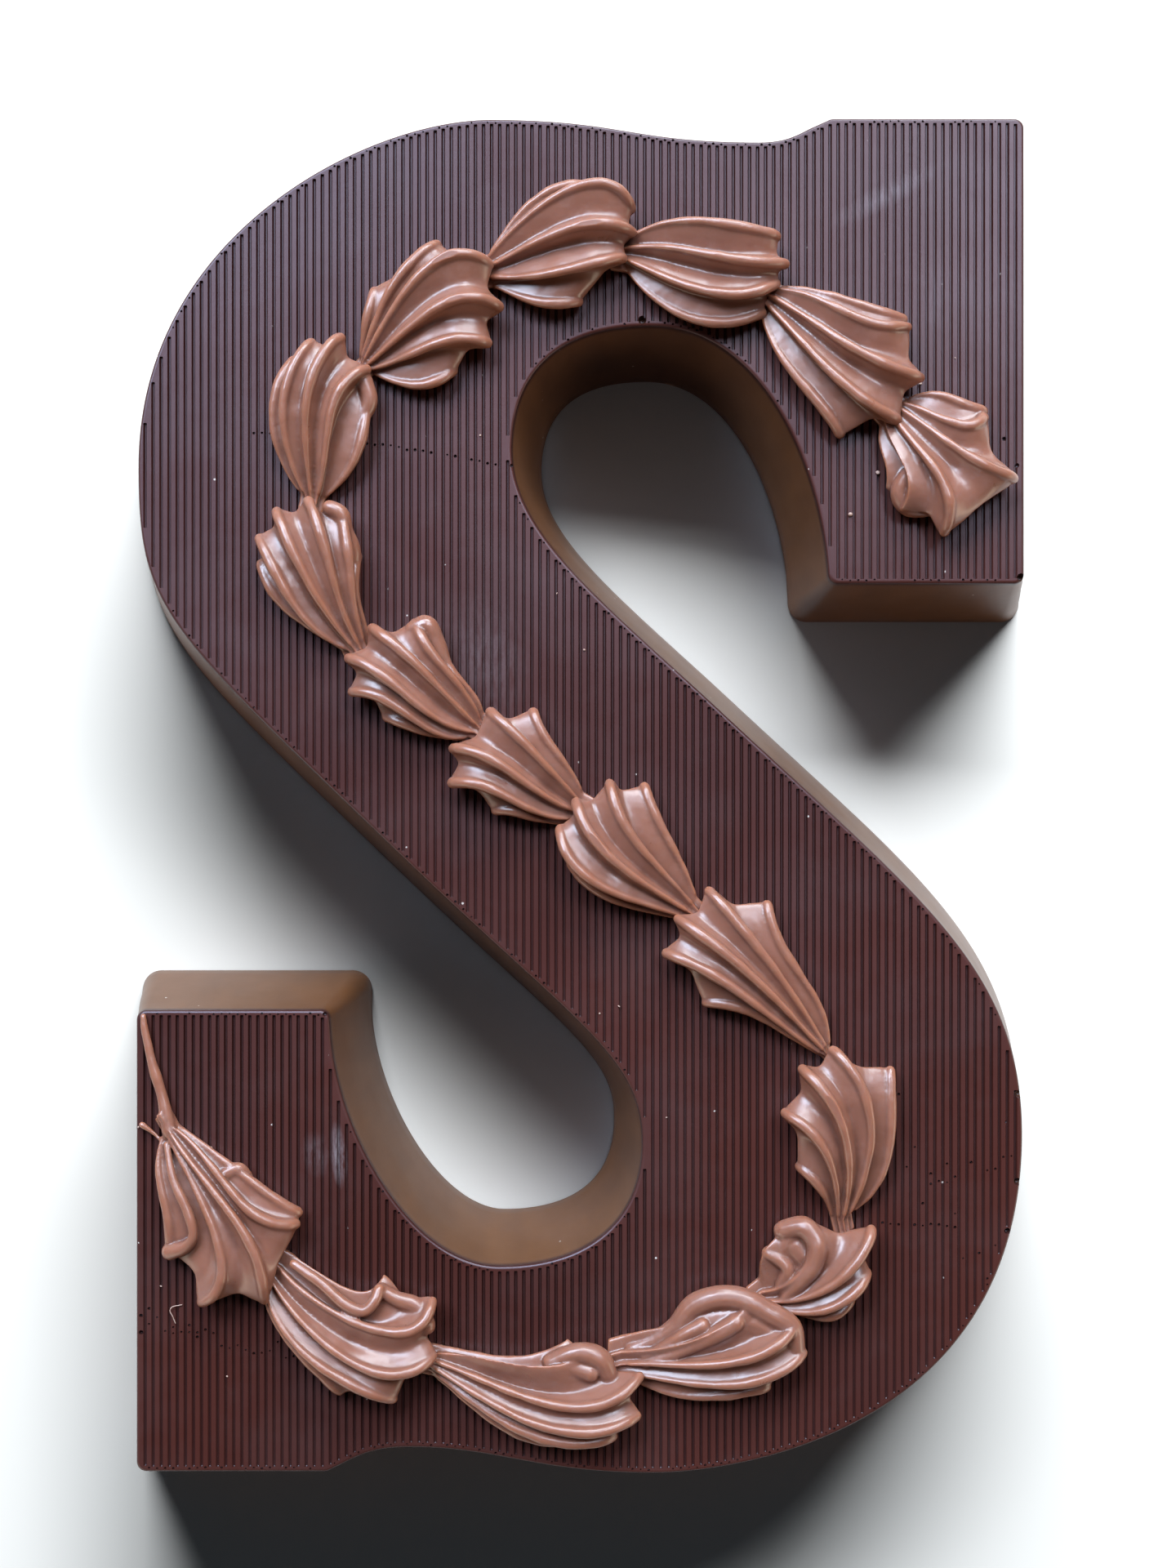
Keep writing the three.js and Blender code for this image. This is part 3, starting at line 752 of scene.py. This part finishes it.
# Folds and curls of single shells, as cords that grow together with them: (x, y, height, radius).
ROLLS = {
    1: [
        [(39.6, 45.0, 2.0, 0.5), (40.9, 42.4, 2.8, 0.6), (41.2, 40.4, 2.9, 0.7), (40.0, 39.1, 2.5, 0.9),
         (39.4, 37.2, 1.8, 1.3), (40.4, 35.7, 1.4, 1.3), (42.4, 35.2, 1.3, 1.0)],
    ],
    6: [[(-26.6, 51.0, 2.0, 1.1), (-26.0, 48.4, 1.8, 1.1), (-27.2, 46.2, 1.6, 1.0), (-28.6, 45.2, 1.6, 0.7)]],
    7: [
        [(-30.6, 35.2, 3.0, 1.0), (-29.2, 34.2, 3.0, 1.1), (-28.8, 32.2, 2.6, 1.1), (-28.0, 29.8, 1.8, 1.1),
         (-28.6, 27.4, 1.4, 1.0)],
    ],
    8: [[(-20.4, 20.4, 2.6, 1.1), (-18.9, 20.8, 2.6, 1.3), (-17.9, 19.0, 2.2, 1.3), (-16.9, 16.2, 1.8, 1.1),
         (-15.4, 13.4, 1.2, 0.9)]],
    13: [
        [(25.0, -53.6, 1.6, 1.3), (27.4, -53.0, 2.5, 1.4), (28.9, -54.8, 3.2, 1.35), (28.6, -57.2, 3.4, 1.2),
         (27.0, -59.6, 3.0, 0.95), (25.2, -61.6, 2.2, 0.7)],
        [(26.4, -55.2, 1.0, 1.9), (27.4, -56.6, 1.2, 1.9)],
        [(27.2, -53.2, 1.6, 1.3), (25.7, -54.5, 1.5, 1.3), (24.6, -56.3, 1.3, 1.2)],
        [(23.2, -56.4, 1.6, 0.9), (24.6, -57.2, 2.1, 0.9), (25.4, -58.3, 2.3, 0.85), (24.6, -60.4, 1.8, 0.7)],
    ],
    14: [
        [(6.4, -68.4, 0.9, 0.9), (9.2, -67.2, 1.3, 1.1), (11.8, -65.4, 1.8, 1.3), (13.6, -62.9, 2.3, 1.4),
         (16.4, -61.6, 2.7, 1.5), (19.7, -61.7, 2.9, 1.5), (23.1, -63.3, 3.1, 1.5), (25.8, -65.2, 3.0, 1.4),
         (26.4, -67.7, 2.6, 1.2)],
        [(14.6, -64.8, 1.6, 2.0), (20.0, -64.2, 2.0, 2.2), (24.4, -66.2, 2.0, 2.0)],
        [(8.1, -69.8, 2.2, 0.6), (12.1, -68.0, 3.3, 0.8), (16.2, -65.9, 4.0, 1.0), (19.0, -64.2, 4.1, 1.1)],
        [(7.9, -69.0, 2.0, 0.5), (10.6, -67.3, 2.9, 0.65), (13.1, -65.7, 3.5, 0.8), (14.9, -64.7, 3.6, 0.9)],
    ],
    15: [
        [(-3.6, -69.4, 2.8, 1.0), (-0.4, -68.2, 3.0, 1.3), (2.3, -68.9, 3.0, 1.4), (3.4, -70.8, 2.8, 1.2)],
        [(-1.2, -69.9, 3.2, 1.1), (1.2, -70.6, 3.3, 1.2)],
    ],
    16: [
        [(-35.2, -57.6, 2.0, 0.6), (-31.8, -59.7, 2.9, 0.7), (-28.9, -62.0, 3.6, 0.75),
         (-26.5, -62.9, 3.8, 0.75), (-25.1, -61.8, 3.6, 0.75), (-24.6, -60.5, 3.0, 0.7)],
        [(-24.6, -60.7, 2.4, 0.8), (-22.4, -61.8, 2.4, 1.0), (-19.8, -62.9, 2.4, 1.1),
         (-18.9, -65.0, 2.6, 1.2)],
    ],
    17: [
        [(-50.7, -41.5, 1.0, 1.0), (-51.6, -37.5, 0.8, 0.75), (-52.9, -33.2, 0.65, 0.6),
         (-53.9, -29.0, 0.5, 0.5), (-54.1, -27.4, 0.4, 0.4)],
        [(-51.4, -43.2, 0.8, 0.3), (-52.6, -42.0, 0.5, 0.25), (-54.2, -40.8, 0.5, 0.45)],
        [(-50.9, -43.0, 1.6, 0.4), (-49.9, -46.8, 2.8, 0.55), (-47.9, -50.8, 3.6, 0.65),
         (-47.2, -53.6, 3.7, 0.65), (-48.3, -55.3, 3.0, 0.8), (-50.4, -56.1, 1.9, 1.1)],
        [(-43.6, -46.6, 2.0, 0.9), (-42.0, -46.0, 1.8, 0.9), (-40.9, -46.9, 1.4, 0.6)],
    ],
}


def ridge_profile(along):
    """The height of a ridge along its length, and how far along its path it has come."""
    climb = np.sin(np.pi / 2 * np.clip(along / NOSE_START, 0, 1))
    turn = np.pi / 2 * np.clip((along - NOSE_START) / (1 - NOSE_START), 0, 1)
    nose = along > NOSE_START
    height = np.where(nose, TIP_LEVEL + (1 - TIP_LEVEL) * np.cos(turn), TAIL_LEVEL + (1 - TAIL_LEVEL) * climb)
    return height, np.where(nose, NOSE_START + (1 - NOSE_START) * np.sin(turn), along)


def ridge_lines(tail, neck, height, ridges):
    """The ridges as functions from the part of the length to points in millimetres."""
    last = len(ridges) - 1
    aim = direction((ridges[0][0] + ridges[last][0]) / 2)
    lines = []
    for index, (angle, reach, lean, hook) in enumerate(ridges):
        side = 0.5 - index / last
        start = np.array(tail) + outwards(aim) * neck * side
        start = start + aim * neck * TAIL_BULGE * (4 * side * side - 1)
        tip = np.array(tail) + direction(angle) * reach
        chord = math.degrees(math.atan2(*(tip - start)[::-1]))
        leave = start + direction(chord + lean) * HANDLE_SHARE * reach
        arrive = tip - direction(chord - lean + hook) * HANDLE_SHARE * reach
        dome = math.sin(math.pi * (index + SIDE_RISE) / (last + 2 * SIDE_RISE))

        def line(along, start=start, leave=leave, arrive=arrive, tip=tip, dome=dome):
            level, path = ridge_profile(np.maximum(along, 0))
            spots = curve_points(start, leave, arrive, tip, path)
            spots = spots + aim * np.minimum(along, 0)[:, None]
            return np.column_stack([spots, height * dome * level])

        lines.append(line)
    return lines


def core_line(lines, height, along):
    """The middle line inside a shell, which its flutes and its foot are drawn towards."""
    core = np.mean([line(along) for line in lines], axis=0)
    core[:, 2] = CORE_LEVEL * height * ridge_profile(np.maximum(along, 0))[0]
    return core


def shell_skin(lines, height):
    """The fluted skin as a grid of points, tail to tip by right to left, and the stroke each is on."""
    along = np.r_[np.linspace(-TAIL_STUB, 0, STUB_STEPS, endpoint=False), np.linspace(0, 1, LONG_STEPS + 1)]
    skin, stroke = [], []
    for column in range((len(lines) - 1) * FLUTE_STEPS + 1):
        left = min(column // FLUTE_STEPS, len(lines) - 2)
        between = column / FLUTE_STEPS - left
        flute = math.sin(math.pi * between) ** FLUTE_FORM
        reached = np.where(along > 0, along * (1 - FLUTE_SHORT * flute), along)
        a, b = lines[left](reached), lines[left + 1](reached)
        points = a * (1 - between) + b * between
        inwards = core_line(lines, height, reached) - points
        inwards /= np.linalg.norm(inwards, axis=1)[:, None]
        gap = np.minimum(np.linalg.norm(a - b, axis=1), WIDEST_FLUTE)
        web = np.interp(np.linalg.norm(a[-1] - b[-1]), WIDE_NOSE, (NOSE_WEB, WIDE_NOSE_WEB))
        shallow = 1 - web * np.clip((along - NOSE_START) / (1 - NOSE_START), 0, 1)
        skin.append(points + inwards * (FLUTE_DEPTH * flute * gap * shallow)[:, None])
        stroke.append(np.column_stack([np.full_like(along, column / FLUTE_STEPS), along, 0 * along]))
    return np.stack(skin, axis=1), np.stack(stroke, axis=1)


def shell_body(shell):
    """The corners, faces and strokes of one closed shell: its skin, a skirt round its rim, its foot."""
    lines = ridge_lines(*shell)
    height = shell[2]
    skin, stroke = shell_skin(lines, height)
    rows, columns = skin.shape[0] - 1, skin.shape[1] - 1
    corners = list(skin.reshape(-1, 3))
    strokes = list(stroke.reshape(-1, 3))
    faces = []

    def number(row, column):
        return row * (columns + 1) + column

    for row in range(rows):
        for column in range(columns):
            right, ahead = number(row, column), number(row + 1, column)
            faces.append((right + 1, right, ahead, ahead + 1))
    rim = [(row, 0) for row in range(rows)] + [(rows, column) for column in range(columns)]
    rim += [(row, columns) for row in range(rows, 0, -1)]
    rim += [(0, column) for column in range(columns, 0, -1)]
    along = np.array([stroke[spot][1] for spot in rim])
    inner = core_line(lines, height, np.clip(along, -TAIL_STUB, NOSE_START))
    edge = np.array([skin[spot] for spot in rim])
    foot = edge + (inner - edge) * UNDERCUT * np.clip(along / UNDERCUT_START, 0, 1)[:, None]
    foot[:, 2] = 0
    away = edge - inner
    away[:, 2] = 0
    away /= np.maximum(np.linalg.norm(away, axis=1), 1e-6)[:, None]
    upper = [number(*spot) for spot in rim]
    for step in range(1, SKIRT_STEPS + 1):
        part = step / SKIRT_STEPS
        ring = edge * (1 - part) + foot * part
        bulge = SKIRT_BULGE * math.sin(math.pi * part) * (1 - part) ** 0.5
        ring = ring + away * (bulge * edge[:, 2:])
        ring[:, 2] = edge[:, 2] * (1 - part)
        lower = list(range(len(corners), len(corners) + len(rim)))
        corners += list(ring)
        strokes += [stroke[spot] for spot in rim]
        for i in range(len(rim)):
            faces.append((upper[i - 1], lower[i - 1], lower[i], upper[i]))
        upper = lower
    faces.append(tuple(upper[::-1]))
    return np.array(corners), faces, strokes


def ridge_cords(lines, height):
    """A round cord along each ridge, sunk in it, which rounds its crest and blunts its tip."""
    along = np.linspace(*CORD_SPAN, CORD_STEPS)
    radius = CORD_TAIL + (CORD_NOSE - CORD_TAIL) * np.minimum(along / NOSE_START, 1)
    cords = []
    for line in lines:
        crest = line(along)
        inwards = core_line(lines, height, along) - crest
        inwards /= np.linalg.norm(inwards, axis=1)[:, None]
        cords.append(np.column_stack([crest + inwards * (radius * CORD_SUNK)[:, None], radius]))
    return cords


def rolled(spots, first):
    """The corners and faces of a round cord through (x, y, height, radius), with rounded ends."""
    spots = np.array(spots, float)
    fine = np.linspace(0, len(spots) - 1, ROLL_STEPS * (len(spots) - 1) + 1)
    ahead = np.vstack([spots[1:], 2 * spots[-1:] - spots[-2:-1]])
    back = np.vstack([2 * spots[:1] - spots[1:2], spots[:-1]])
    tangents = (ahead - back) / 2
    rings = []
    for value in fine:
        i = min(int(value), len(spots) - 2)
        leave, arrive = spots[i] + tangents[i] / 3, spots[i + 1] - tangents[i + 1] / 3
        rings.append(curve_points(spots[i], leave, arrive, spots[i + 1], value - i))
    rings = np.array(rings)
    headings = np.gradient(rings[:, :3], axis=0)
    headings /= np.linalg.norm(headings, axis=1)[:, None]
    ends = []
    for end, sign in ((0, -1), (-1, 1)):
        for part in CORD_ENDS:
            bulge = rings[end].copy()
            bulge[:3] += sign * headings[end] * rings[end, 3] * part
            bulge[3] *= math.sqrt(1 - part**2)
            ends.append(bulge)
    rings = np.vstack([ends[0], ends[1], rings, ends[3], ends[2]])
    headings = np.vstack([headings[:1], headings[:1], headings, headings[-1:], headings[-1:]])
    corners, faces, around = [], [], CORD_SIDES
    for ring, heading in zip(rings, headings):
        side = unit(np.cross(heading, NEARLY_UP))
        rise = np.cross(side, heading)
        for angle in np.linspace(0, 2 * np.pi, around, endpoint=False):
            corners.append(ring[:3] + ring[3] * (side * math.cos(angle) + rise * math.sin(angle)))
    for ring in range(len(rings) - 1):
        for i in range(around):
            low, next_low = first + ring * around + i, first + ring * around + (i + 1) % around
            faces.append((low, next_low, next_low + around, low + around))
    faces.append(tuple(first + i for i in reversed(range(around))))
    faces.append(tuple(first + (len(rings) - 1) * around + i for i in range(around)))
    return corners, faces


def softened(piece, rounds):
    """The piece's mesh after so many rounds of smoothing."""
    smoothing = piece.modifiers.new("soften", "SMOOTH")
    smoothing.iterations = rounds
    mesh = as_mesh(piece)
    piece.modifiers.remove(smoothing)
    return mesh


def read_all(vertices, name):
    values = np.zeros(len(vertices) * 3)
    vertices.foreach_get(name, values)
    return values.reshape(-1, 3)


def piped_piece(name, shell, hidden, rolls, seed):
    """One piped shell: the fluted body and its folds grown together into one soft skin."""
    corners, faces, strokes = shell_body(shell)
    corners = list(corners)
    cords = ridge_cords(ridge_lines(*shell), shell[2])
    shown = [cord for ridge, cord in enumerate(cords) if ridge not in hidden]
    for spots in shown + rolls:
        more, more_faces = rolled(spots, len(corners))
        corners += more
        faces += more_faces
        for corner_number in range(len(more)):
            across, length = corner_number % CORD_SIDES / CORD_SIDES, corner_number / CORD_SIDES / ROLL_STEPS
            strokes.append(np.array([FOLD_STROKE + across, length, 1]))
    corners = np.array(corners)
    corners[:, 2] += SHELL_FLOOR
    mesh = mesh_of(name, corners * MM, faces=faces)
    mesh.attributes.new("stroke", "FLOAT_VECTOR", "POINT").data.foreach_set("vector", np.ravel(strokes))
    piece = placed(name, mesh)
    outward(mesh)
    mesh.remesh_voxel_size = SKIN_GRAIN * MM
    mesh.use_remesh_preserve_attributes = True
    with bpy.context.temp_override(object=piece, active_object=piece):
        bpy.ops.object.voxel_remesh()
    piece.data = softened(piece, SOFTENING + (FOLD_SOFTENING if rolls else 0))
    hand_piped(piece.data, seed)
    mark_crests(piece)
    piece.data.name = name
    return piece


def hand_piped(mesh, seed):
    """Makes a shell a little uneven, as its skin is where the chocolate folded and pulled."""
    points, normals = read_all(mesh.vertices, "co") / MM, read_all(mesh.vertices, "normal")
    push = []
    for spot in map(Vector, points):
        swell = noise.noise(spot * WOBBLE_SCALE + Vector((seed, 0, 0))) * WOBBLE
        push.append(swell + noise.noise(spot * PULLED_SCALE + Vector((0, seed, 0))) * PULLED)
    lift = np.clip((points[:, 2] - SHELL_FLOOR) / PRESSED_FOOT, 0, 1)
    points += normals * (np.array(push) * lift)[:, None]
    points[:, 2] = np.minimum(points[:, 2], CEILING)
    mesh.vertices.foreach_set("co", (points * MM).ravel())
    mesh.update()


def mark_crests(piece):
    """Stores how far each point stands out from its surroundings, from 0 in a flute to 1 on a crest."""
    far = softened(piece, CREST_WIDTH)
    rise = read_all(piece.data.vertices, "co") - read_all(far.vertices, "co")
    rise = (rise * read_all(piece.data.vertices, "normal")).sum(axis=1) / MM
    crest = np.clip(0.5 + rise / (2 * CREST_RISE), 0, 1)
    store(piece.data, "crest", crest)
    bpy.data.meshes.remove(far)


def outward(mesh):
    """Turns every face of closed bodies outwards."""
    shape = bmesh.new()
    shape.from_mesh(mesh)
    bmesh.ops.recalc_face_normals(shape, faces=shape.faces)
    shape.to_mesh(mesh)
    shape.free()


# The darker flute colour is painted shade, and the amber a painted glow of light through the crests.
MILK = (0.224, 0.09, 0.057)
MILK_PAINTED_SHADE = (0.14, 0.052, 0.032)
CREST_PAINTED_GLOW = (0.39, 0.142, 0.064)
FAT_HAZE = (0.4, 0.26, 0.23)


def make_milk_chocolate():
    material, tree, where, shader = new_material("milk_chocolate")
    crest = wire(tree, "ShaderNodeAttribute", attribute_name="crest").outputs["Fac"]
    stroke = wire(tree, "ShaderNodeAttribute", attribute_name="stroke").outputs["Vector"]
    patches = cloud(tree, where, 140, 3)
    # Painted shade: the flutes are painted darker where shade falls in them, broken up by random patches.
    flute_shade_mask = sum_of(tree, "ADD", crest, sum_of(tree, "MULTIPLY", patches, 0.3))
    colour = blend(tree, ramp(tree, flute_shade_mask, (0.3, 0.0), (0.65, 1.0)), MILK_PAINTED_SHADE, MILK)
    # Painted glow: the crests are painted amber, for light that shines through the thin ridges.
    colour = blend(tree, ramp(tree, crest, (0.55, 0.0), (0.95, 0.6)), colour, CREST_PAINTED_GLOW)
    haze = cloud(tree, where, 420, 4, 0.7)
    colour = blend(tree, ramp(tree, haze, (0.5, 0.0), (0.95, 0.22)), colour, FAT_HAZE)
    satin = ramp(tree, cloud(tree, where, 300, 4, 0.6), (0.3, 0.27), (0.7, 0.38))
    fill(tree, shader, {
        "IOR": 1.6, "Subsurface Weight": 0.35, "Subsurface Radius": (1.0, 0.42, 0.2),
        "Subsurface Scale": 0.9 * MM,
    })
    fine = cloud(tree, where, 1500, 3, 0.6)
    soft = cloud(tree, where, 420, 3, 0.5)
    drag = cloud(tree, stretched(tree, stroke, (9, 0.7, 1)), 1.0, 3, 0.6)
    relief = sum_of(tree, "ADD", soft, sum_of(tree, "MULTIPLY", fine, 0.25))
    relief = sum_of(tree, "ADD", relief, sum_of(tree, "MULTIPLY", drag, 0.8))
    finish_surface(tree, shader, colour, satin, relief, 0.3, 0.04)
    return material


milk_chocolate = make_milk_chocolate()
for index, shell in enumerate(SHELLS, start=1):
    hidden, rolls = FOLDED_OVER.get(index, ()), ROLLS.get(index, [])
    piece = piped_piece(f"piped_shell_{index:02d}", shell, hidden, rolls, index * SEED_STEP)
    coat(piece, milk_chocolate)
    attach(piece, "root")
    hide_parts(f"shell_{index:02d}")

# ---- Crumbs and a hair ------------------------------------------------------------------------
# Crumbs of milk chocolate that fell while the last shell was piped and the letter was packed, and
# one thin pale hair of chocolate that stuck to the ribs beside it.
CRUMBS = [  # x, y, radius
    (33.5, 34.8, 0.3), (42.2, 51.0, 0.2), (46.5, 54.2, 0.12), (10.7, -40.0, 0.12), (4.8, -26.2, 0.14),
    (2.4, -27.1, 0.13), (0.5, 18.0, 0.15), (-2.9, 25.0, 0.11), (-52.0, -60.9, 0.15), (-43.8, -72.1, 0.12),
    (36.9, 40.0, 0.22), (-54.8, -41.2, 0.14), (-12.4, 44.6, 0.12), (21.7, -63.0, 0.1),
]
CRUMB_EDGE = ((-46.3, -43.9), (-41.2, -48.3))
EDGE_CRUMBS = 16
EDGE_SCATTER = (-0.25, 0.45)
EDGE_ACROSS = 0.7
CRUMB_RADIUS = (0.1, 0.26)
CRUMB_UNEVENNESS = 0.35
CRUMB_SUNK = 0.5
FULL_TURN = 6.28
TURN_SEED = 5
FORM_SEED = 9
HAIR_LINE = [  # x, y, height over the face
    (-49.4, -63.2, 0.15), (-50.5, -63.4, 0.35), (-50.8, -63.9, 0.4), (-50.5, -64.6, 0.3),
    (-50.2, -65.5, 0.12),
]
HAIR_RADIUS = 0.06
PALE = (0.52, 0.4, 0.33)
random.seed(11)


def crumb_spots():
    """The single crumbs, then loose ones along the ragged side of the last shell."""
    found = list(CRUMBS)
    (x0, y0), (x1, y1) = CRUMB_EDGE
    for _ in range(EDGE_CRUMBS):
        part, off = random.random(), random.uniform(*EDGE_SCATTER) * EDGE_ACROSS
        x, y = x0 + (x1 - x0) * part + off, y0 + (y1 - y0) * part + off
        found.append((x, y, random.uniform(*CRUMB_RADIUS)))
    return found


def crumb_tree(material):
    """An uneven lump on each point, turned at random and as large as the point says."""
    tree, sockets, source = new_tree("scatter_crumbs", "Unevenness")
    points = wire(tree, "GeometryNodeMeshToPoints", {"Mesh": source["Geometry"]})
    ball = wire(tree, "GeometryNodeMeshIcoSphere", {"Radius": MM, "Subdivisions": 2})
    any_turn = {"Max": (FULL_TURN, FULL_TURN, FULL_TURN), "Seed": TURN_SEED}
    turn = wire(tree, "FunctionNodeRandomValue", any_turn, data_type="FLOAT_VECTOR")
    limits = {}
    for end, operation in (("Min", "SUBTRACT"), ("Max", "ADD")):
        limit = sum_of(tree, operation, 1.0, source["Unevenness"])
        limits[end] = wire(tree, "ShaderNodeCombineXYZ", {axis: limit for axis in "XYZ"}).outputs["Vector"]
    form = wire(tree, "FunctionNodeRandomValue", {**limits, "Seed": FORM_SEED}, data_type="FLOAT_VECTOR")
    size = wire(tree, "ShaderNodeVectorMath", {
        0: form.outputs["Value"], "Scale": stored(tree, "radius_mm"),
    }, operation="SCALE")
    copies = wire(tree, "GeometryNodeInstanceOnPoints", {
        "Points": points.outputs["Points"], "Instance": ball.outputs["Mesh"],
        "Rotation": turn.outputs["Value"], "Scale": size.outputs["Vector"],
    })
    finish_tree(tree, copies.outputs["Instances"], material)
    return tree, sockets


def make_pale_crumb():
    material, tree, where, shader = new_material("pale_crumb")
    patches = cloud(tree, where, 2500, 2)
    dry = ramp(tree, patches, (0.3, 0.5), (0.7, 0.7))
    finish_surface(tree, shader, blend(tree, patches, PALE, MILK), dry, cloud(tree, where, 6000), 0.3, 0.03)
    return material


def hair_mesh():
    """A thin round thread along the hair's line."""
    corners, faces = rolled([(x, y, THICKNESS + z, HAIR_RADIUS) for x, y, z in HAIR_LINE], 0)
    mesh = mesh_of("pale_hair", [tuple(corner * MM) for corner in corners], faces=faces)
    outward(mesh)
    mesh.materials.append(pale_crumb)
    return mesh


pale_crumb = make_pale_crumb()
crumbs = spot_cloud("loose_crumbs", crumb_spots(), CRUMB_SUNK)
baked(crumbs, *crumb_tree(pale_crumb), CRUMB_UNEVENNESS)
for piece in (crumbs, placed("pale_hair", hair_mesh())):
    piece.data.shade_smooth()
    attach(piece, "root")

# ---- Floor, light and camera ------------------------------------------------------------------
# The letter lies on a plain white floor, under soft light that comes mostly from its top end. The
# shadow on the floor falls another way, so the floor has a lamp of its own. The camera looks
# straight down from a hand's height over the face.
FLOOR_SIZE = 3.0
FLOOR_COLOUR = (0.77, 0.84, 0.86, 1)
LAMPS = [  # name, place, width and height, watts, colour, what it does with the floor
    ("window", (0.17, 0.76, 0.48), (0.5, 0.32), 10, (0.8, 0.9, 1.0), "EXCLUDE"),
    ("floor wash", (0.112, 0.794, 0.409), (0.9, 0.34), 36, (1.0, 0.955, 0.945), "INCLUDE"),
    ("sky", (-0.42, 0.62, 0.8), (0.7, 0.5), 24, (0.64, 0.78, 1.0), "EXCLUDE"),
    ("second window", (0.3, 0.42, 0.8), (0.3, 0.25), 4.5, (0.76, 0.84, 1.0), "EXCLUDE"),
    ("left fill", (-0.5, -0.6, 0.2), (0.6, 0.3), 1.5, (1.0, 0.86, 0.7), "EXCLUDE"),
    ("right fill", (0.7, -0.3, 0.14), (0.6, 0.2), 2.0, (1.0, 0.83, 0.64), "EXCLUDE"),
]
ROOM_LIGHT = {"Color": (0.75, 0.88, 1.0, 1), "Strength": 0.025}
CAMERA_PLACE = (0.96, 1.37, THICKNESS + 224.5)
VIEW_HEIGHT_DEGREES = 46.85
SENSOR_WIDTH = 36

reach = FLOOR_SIZE / 2
floor_corners = [(-reach, -reach, 0), (reach, -reach, 0), (reach, reach, 0), (-reach, reach, 0)]
floor = placed("floor", mesh_of("floor", floor_corners, faces=[(0, 1, 2, 3)]))
floor_paint, floor_tree, _, floor_shader = new_material("floor_paint")
fill(floor_tree, floor_shader, {"Base Color": FLOOR_COLOUR, "Roughness": 0.9})
floor.data.materials.append(floor_paint)


def soft_light(name, place, size, watts, colour, floor_state):
    """A lamp that looks at the letter and lights the floor alone or everything but the floor."""
    lamp = bpy.data.lights.new(name, "AREA")
    lamp.shape = "RECTANGLE"
    lamp.size, lamp.size_y = size
    lamp.energy = watts
    lamp.color = colour
    holder = placed(name, lamp)
    holder.location = place
    holder.rotation_euler = (-Vector(place)).to_track_quat("-Z", "Y").to_euler()
    receivers = bpy.data.collections.new(name)
    receivers.objects.link(floor)
    holder.light_linking.receiver_collection = receivers
    receivers.collection_objects[0].light_linking.link_state = floor_state


for lamp_values in LAMPS:
    soft_light(*lamp_values)

world = bpy.data.worlds.new("room")
world.use_nodes = True
fill(world.node_tree, world.node_tree.nodes["Background"], ROOM_LIGHT)
scene.world = world
scene.view_settings.view_transform = "Standard"

camera_data = bpy.data.cameras.new("camera")
camera_data.sensor_width = SENSOR_WIDTH
camera_data.lens = SENSOR_WIDTH / 2 / math.tan(math.radians(VIEW_HEIGHT_DEGREES / 2))
camera_data.clip_start, camera_data.clip_end = 0.01, 10
camera = placed("camera", camera_data)
camera.location = [value * MM for value in CAMERA_PLACE]
scene.camera = camera
